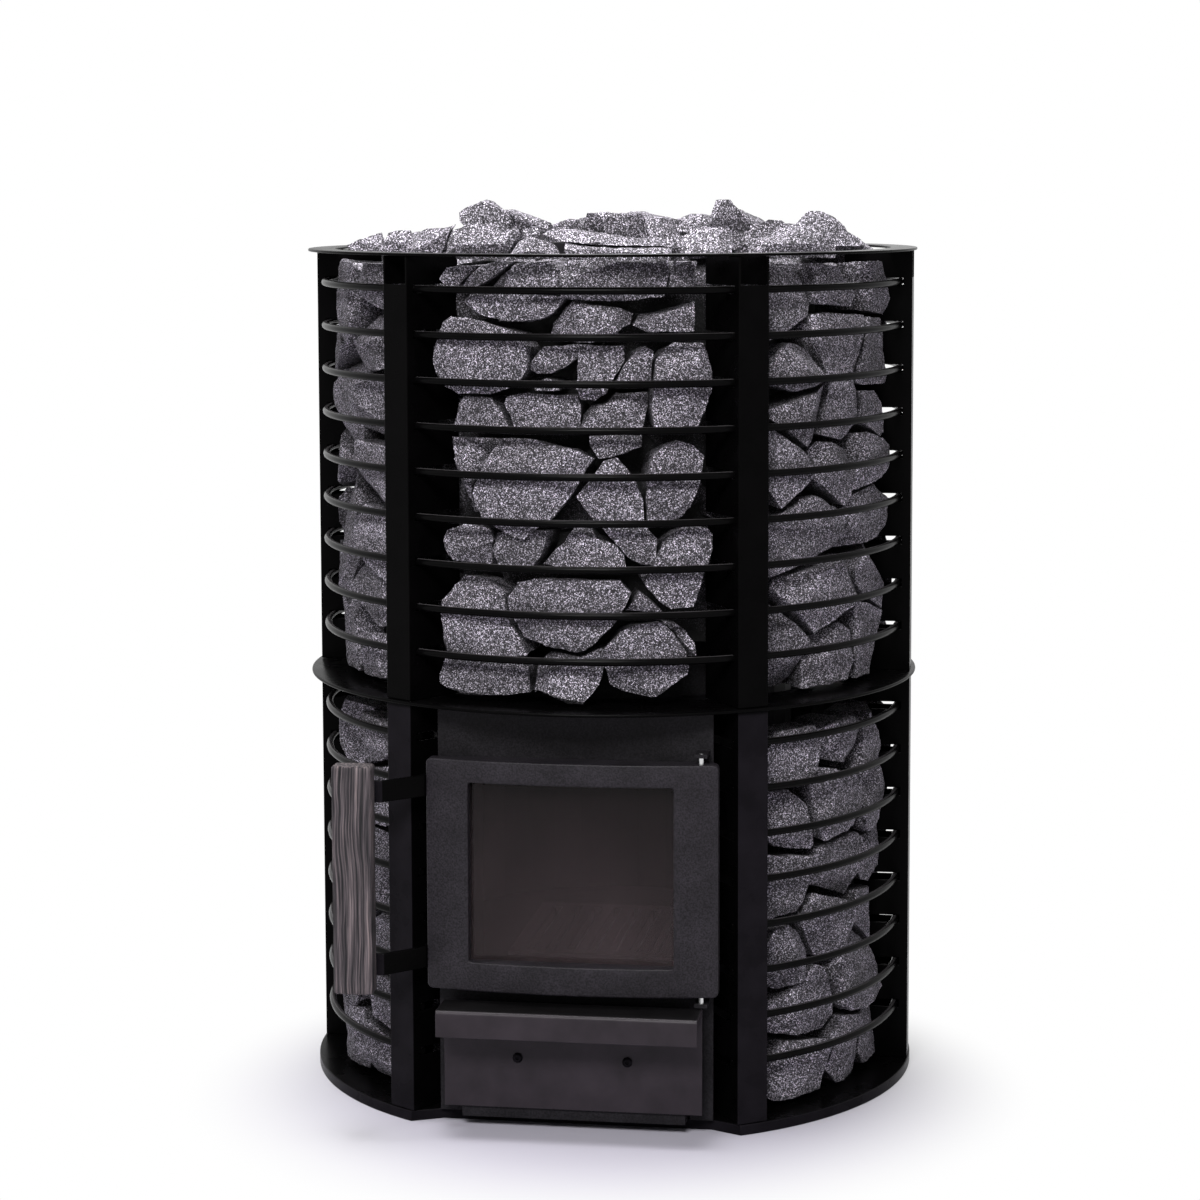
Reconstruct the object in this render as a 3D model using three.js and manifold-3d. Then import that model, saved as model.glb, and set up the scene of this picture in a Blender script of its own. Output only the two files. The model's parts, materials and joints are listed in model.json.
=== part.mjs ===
// Wood-burning sauna stove: a round open cage of stones around a firebox with a glazed door.
// Millimetres, +Z up. The fire door faces -Y and the origin is under the middle of the base plate.
// Azimuths are degrees around Z, from the front (-Y) towards +X.

import * as THREE from 'three';
import { ConvexGeometry } from 'three/addons/geometries/ConvexGeometry.js';
import { mergeVertices } from 'three/addons/utils/BufferGeometryUtils.js';
import Module from 'manifold-3d';

// Gaps between pieces that touch, and around pieces that slide or turn
const SEAT_GAP = 0.3;
const RUNNING_GAP = 2;

// Cutting shapes reach past the faces they cut, and rooms reach past the whole stove
const OVERCUT = 1;
const CLEAR_OF_ALL = 200;

// The cage: outside of the posts, and the two levels of its rings
const POST_RADIUS = 296.5;
const MID_RING_TOP = 400;
const TOP_RING_TOP = 815;

// Base plate and rings
const BASE_MARGIN = 1.5;
const BASE_THICKNESS = 10;
const NOTCH_LIP = 1;
const NOTCH_INSET = 2;
const NOTCH_SPLAY = 29;
const MID_RING_MARGIN = 4.5;
const MID_RING_WIDTH = 65;
const MID_RING_THICKNESS = 3;
const TOP_RING_MARGIN = 3.5;
const TOP_RING_WIDTH = 26;
const TOP_RING_THICKNESS = 2.5;

// Posts: folded U-channels with a slot in both legs for every hoop
const POST_AZIMUTHS = { front: 34, side: 90, rear: 146 };
const POST_WIDTH = 31;
const POST_SHEET = 2;
const LOWER_LEG_DEPTH = 54;
const UPPER_LEG_DEPTH = 66;
const LEG_CORNER = 6;
const WEB_CUTOUT = 26;

// Hoops of round rod
const ROD_DIAMETER = 7;
const HOOP_INSET = 12.5;
const UPPER_HOOPS = 9;
const UPPER_HOOP_FOOT = 45;
const UPPER_HOOP_HEAD = 33;
const LOWER_HOOPS = 8;
const LOWER_HOOP_FOOT = 55;
const LOWER_HOOP_HEAD = 35;

// Firebox: a round body with a neck to the front panel, which stands between the two front posts
const BODY_RADIUS = 178;
const BODY_WALL = 4;
const BODY_RISE = 46;
const PANEL_SETBACK = 51.5;
const PANEL_SIDE_GAP = 17.5;
const PANEL_THICKNESS = 4;
const NECK_INSET = 17;
const NECK_ROOM = 4;
const FLOOR_TOP = 130;
const FLOOR_THICKNESS = 4;
const GRATE_LENGTH = 200;
const GRATE_WIDTH = 160;
const GRATE_THICKNESS = 12;
const GRATE_CENTRE = -60;
const GRATE_LEDGE = 9;
const GRATE_BAR = 12;
const GRATE_SLOTS = 7;
const BAFFLE_DROP = 54;
const BAFFLE_FRONT = -70;
const BAFFLE_THICKNESS = 5;
const ROOF_THICKNESS = 4;
const FLUE_RADIUS = 60;
const FLUE_WALL = 2.5;
const FLUE_RISE = 5;

// Fire door: flat at the back, bowed at the front
const DOOR_SIDE_LAP = 7;
const DOOR_STEP = 3;
const DOOR_HEADROOM = 50;
const DOOR_EDGE_THICKNESS = 12;
const DOOR_BOW = 13;
const DOOR_CORNER = 5;
const DOOR_STILE_WIDTH = 40.4;
const BOTTOM_RAIL_HEIGHT = 27;
const TOP_RAIL_HEIGHT = 21;
const WINDOW_CORNER = 3;
const GLASS_THICKNESS = 4;
const GLASS_LAP = 8;
const RETAINER_THICKNESS = 2;
const SEAL_DEPTH = 10;
const SEAL_WIDTH = 9;
const SEAL_LAP = 1;

// Hinge of the fire door
const HINGE_INSET = 16;
const HINGE_DEPTH = 9;
const PIN_DIAMETER = 5;
const PIN_IN_DOOR = 16;
const PIN_SHOWN = 10;
const LUG_HEIGHT = 3.5;
const LUG_WIDTH = 12;
const LUG_RIM = 1.5;
const PIN_BORE_GAP = 0.3;

// Door handle
const GRIP_OUTSET = 59;
const GRIP_BACK_GAP = 44;
const GRIP_WIDTH = 37;
const GRIP_THICKNESS = 20;
const GRIP_RISE = 5;
const GRIP_EDGE = 3;
const STRAP_THICKNESS = 4;
const STRAP_HEIGHT = 20;
const STRAP_TOP_INSET = 26.5;
const STRAP_BOTTOM_INSET = 28.5;
const STRAP_UNDER_GRIP = 30;
const STRAP_ON_DOOR = 9;

// Ash drawer
const DRAWER_SIDE_INSET = 8;
const DRAWER_FRONT_GAP = 20;
const DRAWER_FLOOR_GAP = 11;
const DRAWER_DOOR_GAP = 11;
const DRAWER_SHEET = 2.5;
const LEDGE_DEPTH = 40;
const LIP_HEIGHT = 25;
const LIP_CORNER = 8;
const ASH_BOX_SIDE_ROOM = 3;
const ASH_BOX_HEADROOM = 18;
const ASH_BOX_REAR = 85;
const ASH_BOX_SHEET = 1.5;
const SCREW_SPACING = 103;
const SCREW_RISE = 48;
const SCREW_HEAD = 9.5;
const SCREW_HEAD_HEIGHT = 2.8;
const SCREW_SHANK = 5;
const SCREW_LENGTH = 8;
const SCREW_SOCKET = 3.4;

// Stones: wall stones lie against the hoops, core rubble lies behind them, crown stones are heaped on top
const STONE_HOOP_GAP = 0.8;
const STONE_FACE_PLAY = 9;
const STONE_ROOT = 3;
const STONE_FLATNESS = 1.5;
const STONE_BEVEL = 0.2;
const UPPER_STONE_HEADROOM = 6;
const LOWER_STONE_HEADROOM = 18;
const CORE_DEPTH = 9.4;
const CORE_INSET = 2;
const CORE_DROP = 25;
const CORE_FLUE_GAP = 52;
const CROWN_GAP = 3;
const POST_CLEARANCE = 1;
const BAY_MARGIN = 4.6;
const SECTOR_GAP = 0.3;

// Courses of wall stones in the upper front bay, drawn for a bay of this height:
// height above the mid ring and the azimuth of each stone
const FRONT_BAY_HEIGHT = 412.5;
const FRONT_COURSES = [
  { height: 395, azimuths: [-24, -10, 10, 24] },
  { height: 357, azimuths: [-11, 4, 20] },
  { height: 313, azimuths: [-18, -3, 6, 13, 23] },
  { height: 273, azimuths: [-19, -5, 9, 21] },
  { height: 213, azimuths: [-21, -8, 9, 21] },
  { height: 147, azimuths: [-22, -10, 2, 11, 23] },
  { height: 103, azimuths: [-18, 0, 20] },
  { height: 63, azimuths: [-18, 1, 17] },
  { height: 23, azimuths: [-18, 0, 16] },
];

// Crown stones: azimuth, distance from the axis, top above the top ring, then width, depth and height
const CROWN_STONES = [
  { azimuth: 7, radius: 200, rise: 38, size: [150, 95, 80] },
  { azimuth: -20, radius: 210, rise: 23, size: [105, 90, 70] },
  { azimuth: 26, radius: 215, rise: 23, size: [75, 80, 62] },
  { azimuth: -3, radius: 122, rise: 43, size: [95, 80, 82] },
  { azimuth: -57, radius: 140, rise: 50, size: [115, 90, 92] },
  { azimuth: -52, radius: 218, rise: 18, size: [95, 80, 64] },
  { azimuth: -80, radius: 215, rise: 15, size: [100, 85, 62] },
  { azimuth: -105, radius: 208, rise: 28, size: [95, 90, 72] },
  { azimuth: -130, radius: 208, rise: 24, size: [105, 90, 70] },
  { azimuth: -105, radius: 118, rise: 42, size: [100, 80, 82] },
  { azimuth: 57, radius: 146, rise: 49, size: [88, 85, 92] },
  { azimuth: 47, radius: 220, rise: 20, size: [88, 80, 64] },
  { azimuth: 78, radius: 215, rise: 38, size: [98, 88, 82] },
  { azimuth: 104, radius: 212, rise: 26, size: [95, 88, 72] },
  { azimuth: 130, radius: 208, rise: 30, size: [105, 90, 74] },
  { azimuth: 108, radius: 120, rise: 40, size: [95, 80, 82] },
  { azimuth: 163, radius: 202, rise: 34, size: [105, 90, 78] },
  { azimuth: 193, radius: 208, rise: 28, size: [115, 90, 74] },
  { azimuth: 178, radius: 122, rise: 42, size: [95, 80, 82] },
];

// Facets of round shapes
const RING_FACETS = 48;
const HOOP_FACETS = 24;
const ROD_FACETS = 5;
const BODY_FACETS = 36;
const FLUE_FACETS = 24;
const PIN_FACETS = 8;

// Cage sizes that follow from the posts
const BASE_RADIUS = POST_RADIUS + BASE_MARGIN;
const MID_RING_RADIUS = POST_RADIUS + MID_RING_MARGIN;
const MID_RING_HOLE = MID_RING_RADIUS - MID_RING_WIDTH;
const TOP_RING_RADIUS = POST_RADIUS + TOP_RING_MARGIN;
const TOP_RING_HOLE = TOP_RING_RADIUS - TOP_RING_WIDTH;
const HOOP_RADIUS = POST_RADIUS - HOOP_INSET;

// The front panel fills the bay between the legs of the two front posts
const PANEL_FRONT = POST_RADIUS - PANEL_SETBACK;
const PANEL_HALF = frontBayHalf(PANEL_FRONT) - PANEL_SIDE_GAP;
const NECK_HALF = PANEL_HALF - NECK_INSET;
const NOTCH_FLOOR = PANEL_FRONT - PANEL_THICKNESS - NOTCH_LIP;
const NOTCH_INNER_HALF = PANEL_HALF - NOTCH_INSET;
const NOTCH_OUTER_HALF = NOTCH_INNER_HALF + NOTCH_SPLAY;

// Levels of the firebox
const BODY_TOP = MID_RING_TOP + BODY_RISE;
const BAFFLE_UNDERSIDE = BODY_TOP - BAFFLE_DROP;
const FLUE_TOP = TOP_RING_TOP + FLUE_RISE;

// The door covers the panel, and its window and hinge follow it
const DOOR_HALF = PANEL_HALF + DOOR_SIDE_LAP;
const DOOR_BACK = PANEL_FRONT + SEAL_DEPTH;
const DOOR_EDGE = DOOR_BACK + DOOR_EDGE_THICKNESS;
const DOOR_BOTTOM = FLOOR_TOP + DOOR_STEP;
const DOOR_TOP = MID_RING_TOP - DOOR_HEADROOM;
const WINDOW_HALF = DOOR_HALF - DOOR_STILE_WIDTH;
const WINDOW_BOTTOM = DOOR_BOTTOM + BOTTOM_RAIL_HEIGHT;
const WINDOW_TOP = DOOR_TOP - TOP_RAIL_HEIGHT;
const HINGE_X = DOOR_HALF - HINGE_INSET;
const HINGE_Y = -(DOOR_BACK + HINGE_DEPTH);

// The handle stands out from the door's left side
const GRIP_CENTRE = -(DOOR_HALF + GRIP_OUTSET);
const GRIP_FRONT = DOOR_BACK + GRIP_BACK_GAP + GRIP_THICKNESS;
const GRIP_BOTTOM = DOOR_BOTTOM + GRIP_RISE;
const GRIP_TOP = DOOR_TOP;
const STRAP_CENTRES = { upper: DOOR_TOP - STRAP_TOP_INSET, lower: DOOR_BOTTOM + STRAP_BOTTOM_INSET };

// The drawer fills the panel below the door
const DRAWER_HALF = PANEL_HALF - DRAWER_SIDE_INSET;
const DRAWER_FACE = PANEL_FRONT + DRAWER_FRONT_GAP;
const DRAWER_BOTTOM = BASE_THICKNESS + DRAWER_FLOOR_GAP;
const DRAWER_TOP = DOOR_BOTTOM - DRAWER_DOOR_GAP;
const LEDGE_FRONT = DRAWER_FACE + LEDGE_DEPTH;
const LIP_BOTTOM = DRAWER_TOP - LIP_HEIGHT;
const ASH_BOX_HALF = NECK_HALF - BODY_WALL - ASH_BOX_SIDE_ROOM;
const ASH_BOX_TOP = FLOOR_TOP - FLOOR_THICKNESS - ASH_BOX_HEADROOM;
const SCREW_Z = DRAWER_BOTTOM + SCREW_RISE;

// The core's corners lie behind the posts, and its flats in the front bay clear the firebox body
const CORE_RADIUS = (BODY_RADIUS + CORE_DEPTH) / Math.cos(radians(POST_AZIMUTHS.front));

// Wall stones stop short of the flats on the inside of the hoops
const STONE_FACE_RADIUS = (HOOP_RADIUS - ROD_DIAMETER / 2) * Math.cos(Math.PI / HOOP_FACETS) - STONE_HOOP_GAP;
const CORE_TOP = TOP_RING_TOP - CORE_DROP;
const CROWN_RADIUS = TOP_RING_HOLE - CROWN_GAP;

const wasm = await Module();
wasm.setup();

const stove = new THREE.Group();

const materials = {
  blackSteel: new THREE.MeshStandardMaterial({ color: 0x161618, roughness: 0.42, metalness: 0.3 }),
  castIron: new THREE.MeshStandardMaterial({ color: 0x2f2e32, roughness: 0.62, metalness: 0.3 }),
  drawerSteel: new THREE.MeshStandardMaterial({ color: 0x302d30, roughness: 0.5, metalness: 0.3 }),
  fireboxSteel: new THREE.MeshStandardMaterial({ color: 0x1c1c1e, roughness: 0.6, metalness: 0.3 }),
  brightSteel: new THREE.MeshStandardMaterial({ color: 0xc8c8ca, roughness: 0.3, metalness: 1 }),
  glass: new THREE.MeshStandardMaterial({ color: 0x2b2629, roughness: 0.08, metalness: 0 }),
  rope: new THREE.MeshStandardMaterial({ color: 0x8c8780, roughness: 0.95, metalness: 0 }),
  wood: new THREE.MeshStandardMaterial({ color: 0x524847, roughness: 0.7, metalness: 0 }),
  stone: new THREE.MeshStandardMaterial({ color: 0x6b696d, roughness: 0.9, metalness: 0 }),
};

// Solids, joins and cuts

function solidOf(geometry) {
  const bare = geometry.clone();
  bare.deleteAttribute('normal');
  bare.deleteAttribute('uv');
  const merged = mergeVertices(bare, 1e-4);
  const vertProperties = new Float32Array(merged.attributes.position.array);
  const triVerts = new Uint32Array(merged.index.array);
  return new wasm.Manifold(new wasm.Mesh({ numProp: 3, vertProperties, triVerts }));
}

function geometryOf(solid) {
  const mesh = solid.getMesh();
  const geometry = new THREE.BufferGeometry();
  geometry.setAttribute('position', new THREE.BufferAttribute(mesh.vertProperties, 3));
  geometry.setIndex(new THREE.BufferAttribute(mesh.triVerts, 1));
  geometry.computeVertexNormals();
  return geometry;
}

function join(first, ...others) {
  return others.reduce((sum, other) => sum.add(other), first);
}

function cut(body, ...tools) {
  return tools.reduce((rest, tool) => rest.subtract(tool), body);
}

function addPart(name, solid, material, azimuth = 0) {
  const mesh = new THREE.Mesh(geometryOf(solid), material);
  mesh.name = name;
  mesh.rotation.z = radians(azimuth);
  stove.add(mesh);
}

// Basic shapes, all given as solids

function radians(degrees) {
  return THREE.MathUtils.degToRad(degrees);
}

// Half the clear width between the legs of the two front posts, at a distance in front of the axis
function frontBayHalf(distance) {
  const turn = radians(POST_AZIMUTHS.front);
  const reach = (distance - (POST_WIDTH / 2) * Math.sin(turn)) / Math.cos(turn);
  return reach * Math.sin(turn) - (POST_WIDTH / 2) * Math.cos(turn);
}

function block([x0, x1], [y0, y1], [z0, z1]) {
  const geometry = new THREE.BoxGeometry(x1 - x0, y1 - y0, z1 - z0);
  geometry.translate((x0 + x1) / 2, (y0 + y1) / 2, (z0 + z1) / 2);
  return solidOf(geometry);
}

function plate(shape, z0, z1, curveSegments = 6) {
  const geometry = new THREE.ExtrudeGeometry(shape, { depth: z1 - z0, bevelEnabled: false, curveSegments });
  geometry.translate(0, 0, z0);
  return solidOf(geometry);
}

// A front-view outline of X and Z, extruded back along +Y from y0 to y1
function frontPlate(shape, y0, y1, curveSegments = 3) {
  const geometry = new THREE.ExtrudeGeometry(shape, { depth: y1 - y0, bevelEnabled: false, curveSegments });
  geometry.rotateX(Math.PI / 2);
  geometry.translate(0, y1, 0);
  return solidOf(geometry);
}

// A side-view outline of Y and Z, extruded along +X from x0 to x1
function sidePlate(shape, x0, x1, curveSegments = 3) {
  const geometry = new THREE.ExtrudeGeometry(shape, { depth: x1 - x0, bevelEnabled: false, curveSegments });
  const turn = new THREE.Matrix4();
  turn.makeBasis(new THREE.Vector3(0, 1, 0), new THREE.Vector3(0, 0, 1), new THREE.Vector3(1, 0, 0));
  geometry.applyMatrix4(turn);
  geometry.translate(x0, 0, 0);
  return solidOf(geometry);
}

function post(radius, x, y, z0, z1, facets) {
  const geometry = new THREE.CylinderGeometry(radius, radius, z1 - z0, facets);
  geometry.rotateX(Math.PI / 2);
  geometry.translate(x, y, (z0 + z1) / 2);
  return solidOf(geometry);
}

function disc(radius, z0, z1, facets) {
  return post(radius, 0, 0, z0, z1, facets);
}

function ring(outer, inner, z0, z1, facets) {
  return cut(disc(outer, z0, z1, facets), disc(inner, z0 - OVERCUT, z1 + OVERCUT, facets));
}

function outline(points) {
  return new THREE.Shape(points.map(([x, y]) => new THREE.Vector2(x, y)));
}

function roundedRect(half, bottom, top, corner) {
  const shape = new THREE.Shape();
  shape.moveTo(-half + corner, bottom);
  shape.lineTo(half - corner, bottom);
  shape.absarc(half - corner, bottom + corner, corner, -Math.PI / 2, 0);
  shape.lineTo(half, top - corner);
  shape.absarc(half - corner, top - corner, corner, 0, Math.PI / 2);
  shape.lineTo(-half + corner, top);
  shape.absarc(-half + corner, top - corner, corner, Math.PI / 2, Math.PI);
  shape.lineTo(-half, bottom + corner);
  shape.absarc(-half + corner, bottom + corner, corner, Math.PI, Math.PI * 1.5);
  return shape;
}

// Plan-view sector between two radii and two azimuths, extruded from z0 to z1
function sector(inner, outer, azimuth0, azimuth1, z0, z1) {
  const start = radians(azimuth0 - 90);
  const end = radians(azimuth1 - 90);
  const shape = new THREE.Shape();
  shape.absarc(0, 0, outer, start, end, false);
  shape.absarc(0, 0, inner, end, start, true);
  return plate(shape, z0, z1, 8);
}

// Base plate and rings

function buildBaseAndRings() {
  const notch = outline([
    [-NOTCH_OUTER_HALF, -BASE_RADIUS - OVERCUT],
    [NOTCH_OUTER_HALF, -BASE_RADIUS - OVERCUT],
    [NOTCH_OUTER_HALF, -Math.sqrt(BASE_RADIUS ** 2 - NOTCH_OUTER_HALF ** 2)],
    [NOTCH_INNER_HALF, -NOTCH_FLOOR],
    [-NOTCH_INNER_HALF, -NOTCH_FLOOR],
    [-NOTCH_OUTER_HALF, -Math.sqrt(BASE_RADIUS ** 2 - NOTCH_OUTER_HALF ** 2)],
  ]);
  const fullDisc = disc(BASE_RADIUS, 0, BASE_THICKNESS, RING_FACETS);
  const basePlate = cut(fullDisc, plate(notch, -OVERCUT, BASE_THICKNESS + OVERCUT));
  addPart('base_plate', basePlate, materials.blackSteel);

  const midBottom = MID_RING_TOP - MID_RING_THICKNESS;
  const midRing = ring(MID_RING_RADIUS, MID_RING_HOLE, midBottom, MID_RING_TOP, RING_FACETS);
  addPart('mid_ring', midRing, materials.blackSteel);

  const topBottom = TOP_RING_TOP - TOP_RING_THICKNESS;
  const topRing = ring(TOP_RING_RADIUS, TOP_RING_HOLE, topBottom, TOP_RING_TOP, RING_FACETS);
  addPart('top_ring', topRing, materials.blackSteel);
}

// Tiers: the lower one stands on the base plate, the upper one on the mid ring

function hoopLevels(count, lowest, highest) {
  const pitch = (highest - lowest) / (count - 1);
  return Array.from({ length: count }, (_, index) => lowest + index * pitch);
}

const tiers = {
  lower: {
    floor: BASE_THICKNESS,
    ceiling: MID_RING_TOP - MID_RING_THICKNESS,
    legDepth: LOWER_LEG_DEPTH,
    cutout: 0,
    hoops: hoopLevels(LOWER_HOOPS, BASE_THICKNESS + LOWER_HOOP_FOOT, MID_RING_TOP - LOWER_HOOP_HEAD),
  },
  upper: {
    floor: MID_RING_TOP,
    ceiling: TOP_RING_TOP - TOP_RING_THICKNESS,
    legDepth: UPPER_LEG_DEPTH,
    cutout: WEB_CUTOUT,
    hoops: hoopLevels(UPPER_HOOPS, MID_RING_TOP + UPPER_HOOP_FOOT, TOP_RING_TOP - UPPER_HOOP_HEAD),
  },
};

// One post, built at the front of the stove and turned to its azimuth

function postLeg(tier, x0, x1) {
  const bottom = tier.floor + SEAT_GAP;
  const top = tier.ceiling - SEAT_GAP;
  const outer = -POST_RADIUS;
  const inner = -POST_RADIUS + tier.legDepth;
  const slotEnd = -(HOOP_RADIUS + ROD_DIAMETER / 2 + SEAT_GAP);
  const slotHalf = ROD_DIAMETER / 2 + SEAT_GAP;
  const leg = new THREE.Shape();
  leg.moveTo(outer, bottom);
  leg.lineTo(inner, bottom);
  for (const level of tier.hoops) {
    leg.lineTo(inner, level - slotHalf);
    leg.lineTo(slotEnd, level - slotHalf);
    leg.lineTo(slotEnd, level + slotHalf);
    leg.lineTo(inner, level + slotHalf);
  }
  leg.lineTo(inner, top - LEG_CORNER);
  leg.absarc(inner - LEG_CORNER, top - LEG_CORNER, LEG_CORNER, 0, Math.PI / 2);
  leg.lineTo(outer, top);
  return sidePlate(leg, x0, x1);
}

function buildPosts() {
  const half = POST_WIDTH / 2;
  for (const [tierName, tier] of Object.entries(tiers)) {
    const webTop = tier.ceiling - SEAT_GAP - tier.cutout;
    const webDepth = [-POST_RADIUS, -POST_RADIUS + POST_SHEET];
    const web = block([-half, half], webDepth, [tier.floor + SEAT_GAP, webTop]);
    const leftLeg = postLeg(tier, -half, -half + POST_SHEET);
    const rightLeg = postLeg(tier, half - POST_SHEET, half);
    const channel = join(web, leftLeg, rightLeg);
    for (const [place, azimuth] of Object.entries(POST_AZIMUTHS)) {
      addPart(`${tierName}_post_${place}_right`, channel, materials.blackSteel, azimuth);
      addPart(`${tierName}_post_${place}_left`, channel, materials.blackSteel, -azimuth);
    }
  }
}

// Hoops: closed rings above, and rings open across the door bay below

function hoop(level) {
  const points = [];
  for (let index = 0; index <= ROD_FACETS; index += 1) {
    const angle = (index / ROD_FACETS) * Math.PI * 2;
    const radius = HOOP_RADIUS + (ROD_DIAMETER / 2) * Math.cos(angle);
    points.push(new THREE.Vector2(radius, (ROD_DIAMETER / 2) * Math.sin(angle)));
  }
  const geometry = new THREE.LatheGeometry(points, HOOP_FACETS);
  geometry.rotateX(Math.PI / 2);
  geometry.translate(0, 0, level);
  return solidOf(geometry);
}

function buildHoops() {
  tiers.upper.hoops.forEach((level, index) => {
    addPart(`upper_hoop_${index + 1}`, hoop(level), materials.blackSteel);
  });
  const openAzimuth = POST_AZIMUTHS.front - THREE.MathUtils.radToDeg(POST_WIDTH / 2 / POST_RADIUS);
  const doorBay = sector(BODY_RADIUS, BASE_RADIUS + CLEAR_OF_ALL, -openAzimuth, openAzimuth, 0, MID_RING_TOP);
  tiers.lower.hoops.forEach((level, index) => {
    addPart(`lower_hoop_${index + 1}`, cut(hoop(level), doorBay), materials.blackSteel);
  });
}

// Firebox: a round body with a neck to the front panel, standing on the base plate

const neckFront = -(PANEL_FRONT - PANEL_THICKNESS - SEAT_GAP);
const neckTop = MID_RING_TOP - MID_RING_THICKNESS - NECK_ROOM;
const bodyInside = BODY_RADIUS - BODY_WALL;
const neckInside = NECK_HALF - BODY_WALL;
const doorMiddle = DOOR_EDGE + DOOR_BOW;

function buildFirebox() {
  const foot = BASE_THICKNESS + SEAT_GAP;
  const outside = join(
    disc(BODY_RADIUS, foot, BODY_TOP, BODY_FACETS),
    block([-NECK_HALF, NECK_HALF], [neckFront, 0], [foot, neckTop]),
  );
  const inside = join(
    disc(bodyInside, 0, BODY_TOP + OVERCUT, BODY_FACETS),
    block([-neckInside, neckInside], [neckFront - OVERCUT, 0], [0, neckTop - BODY_WALL]),
  );
  addPart('firebox_shell', cut(outside, inside), materials.fireboxSteel);

  const floorBottom = FLOOR_TOP - FLOOR_THICKNESS;
  const floorPlate = join(
    disc(bodyInside - SEAT_GAP, floorBottom, FLOOR_TOP, BODY_FACETS),
    block([-neckInside + SEAT_GAP, neckInside - SEAT_GAP], [neckFront, 0], [floorBottom, FLOOR_TOP]),
  );
  const holeHalf = GRATE_WIDTH / 2 - GRATE_LEDGE;
  const holeLength = GRATE_LENGTH / 2 - GRATE_LEDGE;
  const grateHole = block(
    [-holeHalf, holeHalf],
    [GRATE_CENTRE - holeLength, GRATE_CENTRE + holeLength],
    [floorBottom - OVERCUT, FLOOR_TOP + OVERCUT],
  );
  addPart('firebox_floor', cut(floorPlate, grateHole), materials.fireboxSteel);

  const roofBottom = BODY_TOP + SEAT_GAP;
  const roofTop = roofBottom + ROOF_THICKNESS;
  const roof = disc(BODY_RADIUS, roofBottom, roofTop, BODY_FACETS);
  const flueHole = disc(FLUE_RADIUS - FLUE_WALL, roofBottom - OVERCUT, roofTop + OVERCUT, FLUE_FACETS);
  addPart('firebox_roof', cut(roof, flueHole), materials.fireboxSteel);

  const baffleTop = BAFFLE_UNDERSIDE + BAFFLE_THICKNESS;
  const bafflePlate = disc(bodyInside - SEAT_GAP, BAFFLE_UNDERSIDE, baffleTop, BODY_FACETS);
  const smokeWay = block(
    [-BODY_RADIUS, BODY_RADIUS],
    [-BODY_RADIUS, BAFFLE_FRONT],
    [BAFFLE_UNDERSIDE - OVERCUT, baffleTop + OVERCUT],
  );
  addPart('smoke_baffle', cut(bafflePlate, smokeWay), materials.castIron);

  const flueFoot = roofTop + SEAT_GAP;
  const flue = ring(FLUE_RADIUS, FLUE_RADIUS - FLUE_WALL, flueFoot, FLUE_TOP, FLUE_FACETS);
  addPart('flue_collar', flue, materials.fireboxSteel);
}

function buildGrate() {
  const bottom = FLOOR_TOP + SEAT_GAP;
  const top = bottom + GRATE_THICKNESS;
  const half = GRATE_WIDTH / 2;
  const front = GRATE_CENTRE - GRATE_LENGTH / 2;
  const back = GRATE_CENTRE + GRATE_LENGTH / 2;
  const rim = GRATE_LEDGE + GRATE_BAR / 2;
  const pitch = (GRATE_WIDTH - 2 * rim + GRATE_BAR) / GRATE_SLOTS;
  const slots = [];
  for (let index = 0; index < GRATE_SLOTS; index += 1) {
    const slotLeft = -half + rim + index * pitch;
    const slotRight = slotLeft + pitch - GRATE_BAR;
    slots.push(block([slotLeft, slotRight], [front + rim, back - rim], [bottom - OVERCUT, top + OVERCUT]));
  }
  const grate = cut(block([-half, half], [front, back], [bottom, top]), ...slots);
  addPart('fire_grate', grate, materials.castIron);
}

// Front panel with the fire mouth, the drawer mouth and the two hinge lugs

const pinBore = PIN_DIAMETER / 2 + PIN_BORE_GAP;
const lowerLug = DOOR_BOTTOM - PIN_SHOWN + SEAT_GAP;
const upperLug = DOOR_TOP + PIN_SHOWN - SEAT_GAP;
const lugs = [
  { bottom: lowerLug, top: lowerLug + LUG_HEIGHT },
  { bottom: upperLug - LUG_HEIGHT, top: upperLug },
];

function buildFirePanel() {
  const back = -(PANEL_FRONT - PANEL_THICKNESS);
  const front = -PANEL_FRONT;
  const foot = BASE_THICKNESS + SEAT_GAP;
  const head = MID_RING_TOP - MID_RING_THICKNESS - SEAT_GAP;
  const sheet = block([-PANEL_HALF, PANEL_HALF], [front, back], [foot, head]);
  const through = [front - OVERCUT, back + OVERCUT];
  const fireMouth = block([-WINDOW_HALF, WINDOW_HALF], through, [WINDOW_BOTTOM, WINDOW_TOP]);
  const drawerHalf = ASH_BOX_HALF + RUNNING_GAP;
  const drawerHead = ASH_BOX_TOP + RUNNING_GAP;
  const drawerMouth = block([-drawerHalf, drawerHalf], through, [0, drawerHead]);
  let panel = cut(sheet, fireMouth, drawerMouth);
  const lugFront = HINGE_Y - PIN_DIAMETER / 2 - LUG_RIM;
  const lugSides = [HINGE_X - LUG_WIDTH / 2, HINGE_X + LUG_WIDTH / 2];
  for (const lug of lugs) {
    const tab = block(lugSides, [lugFront, back], [lug.bottom, lug.top]);
    const bore = post(pinBore, HINGE_X, HINGE_Y, lug.bottom - OVERCUT, lug.top + OVERCUT, PIN_FACETS);
    panel = cut(join(panel, tab), bore);
  }
  addPart('firebox_front', panel, materials.fireboxSteel);
}

// Fire door

const pocketHalf = WINDOW_HALF + GLASS_LAP;
const pocketBottom = WINDOW_BOTTOM - GLASS_LAP;
const pocketTop = WINDOW_TOP + GLASS_LAP;
const pocketFront = -(DOOR_BACK + GLASS_THICKNESS + RETAINER_THICKNESS + 3 * SEAT_GAP);

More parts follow.
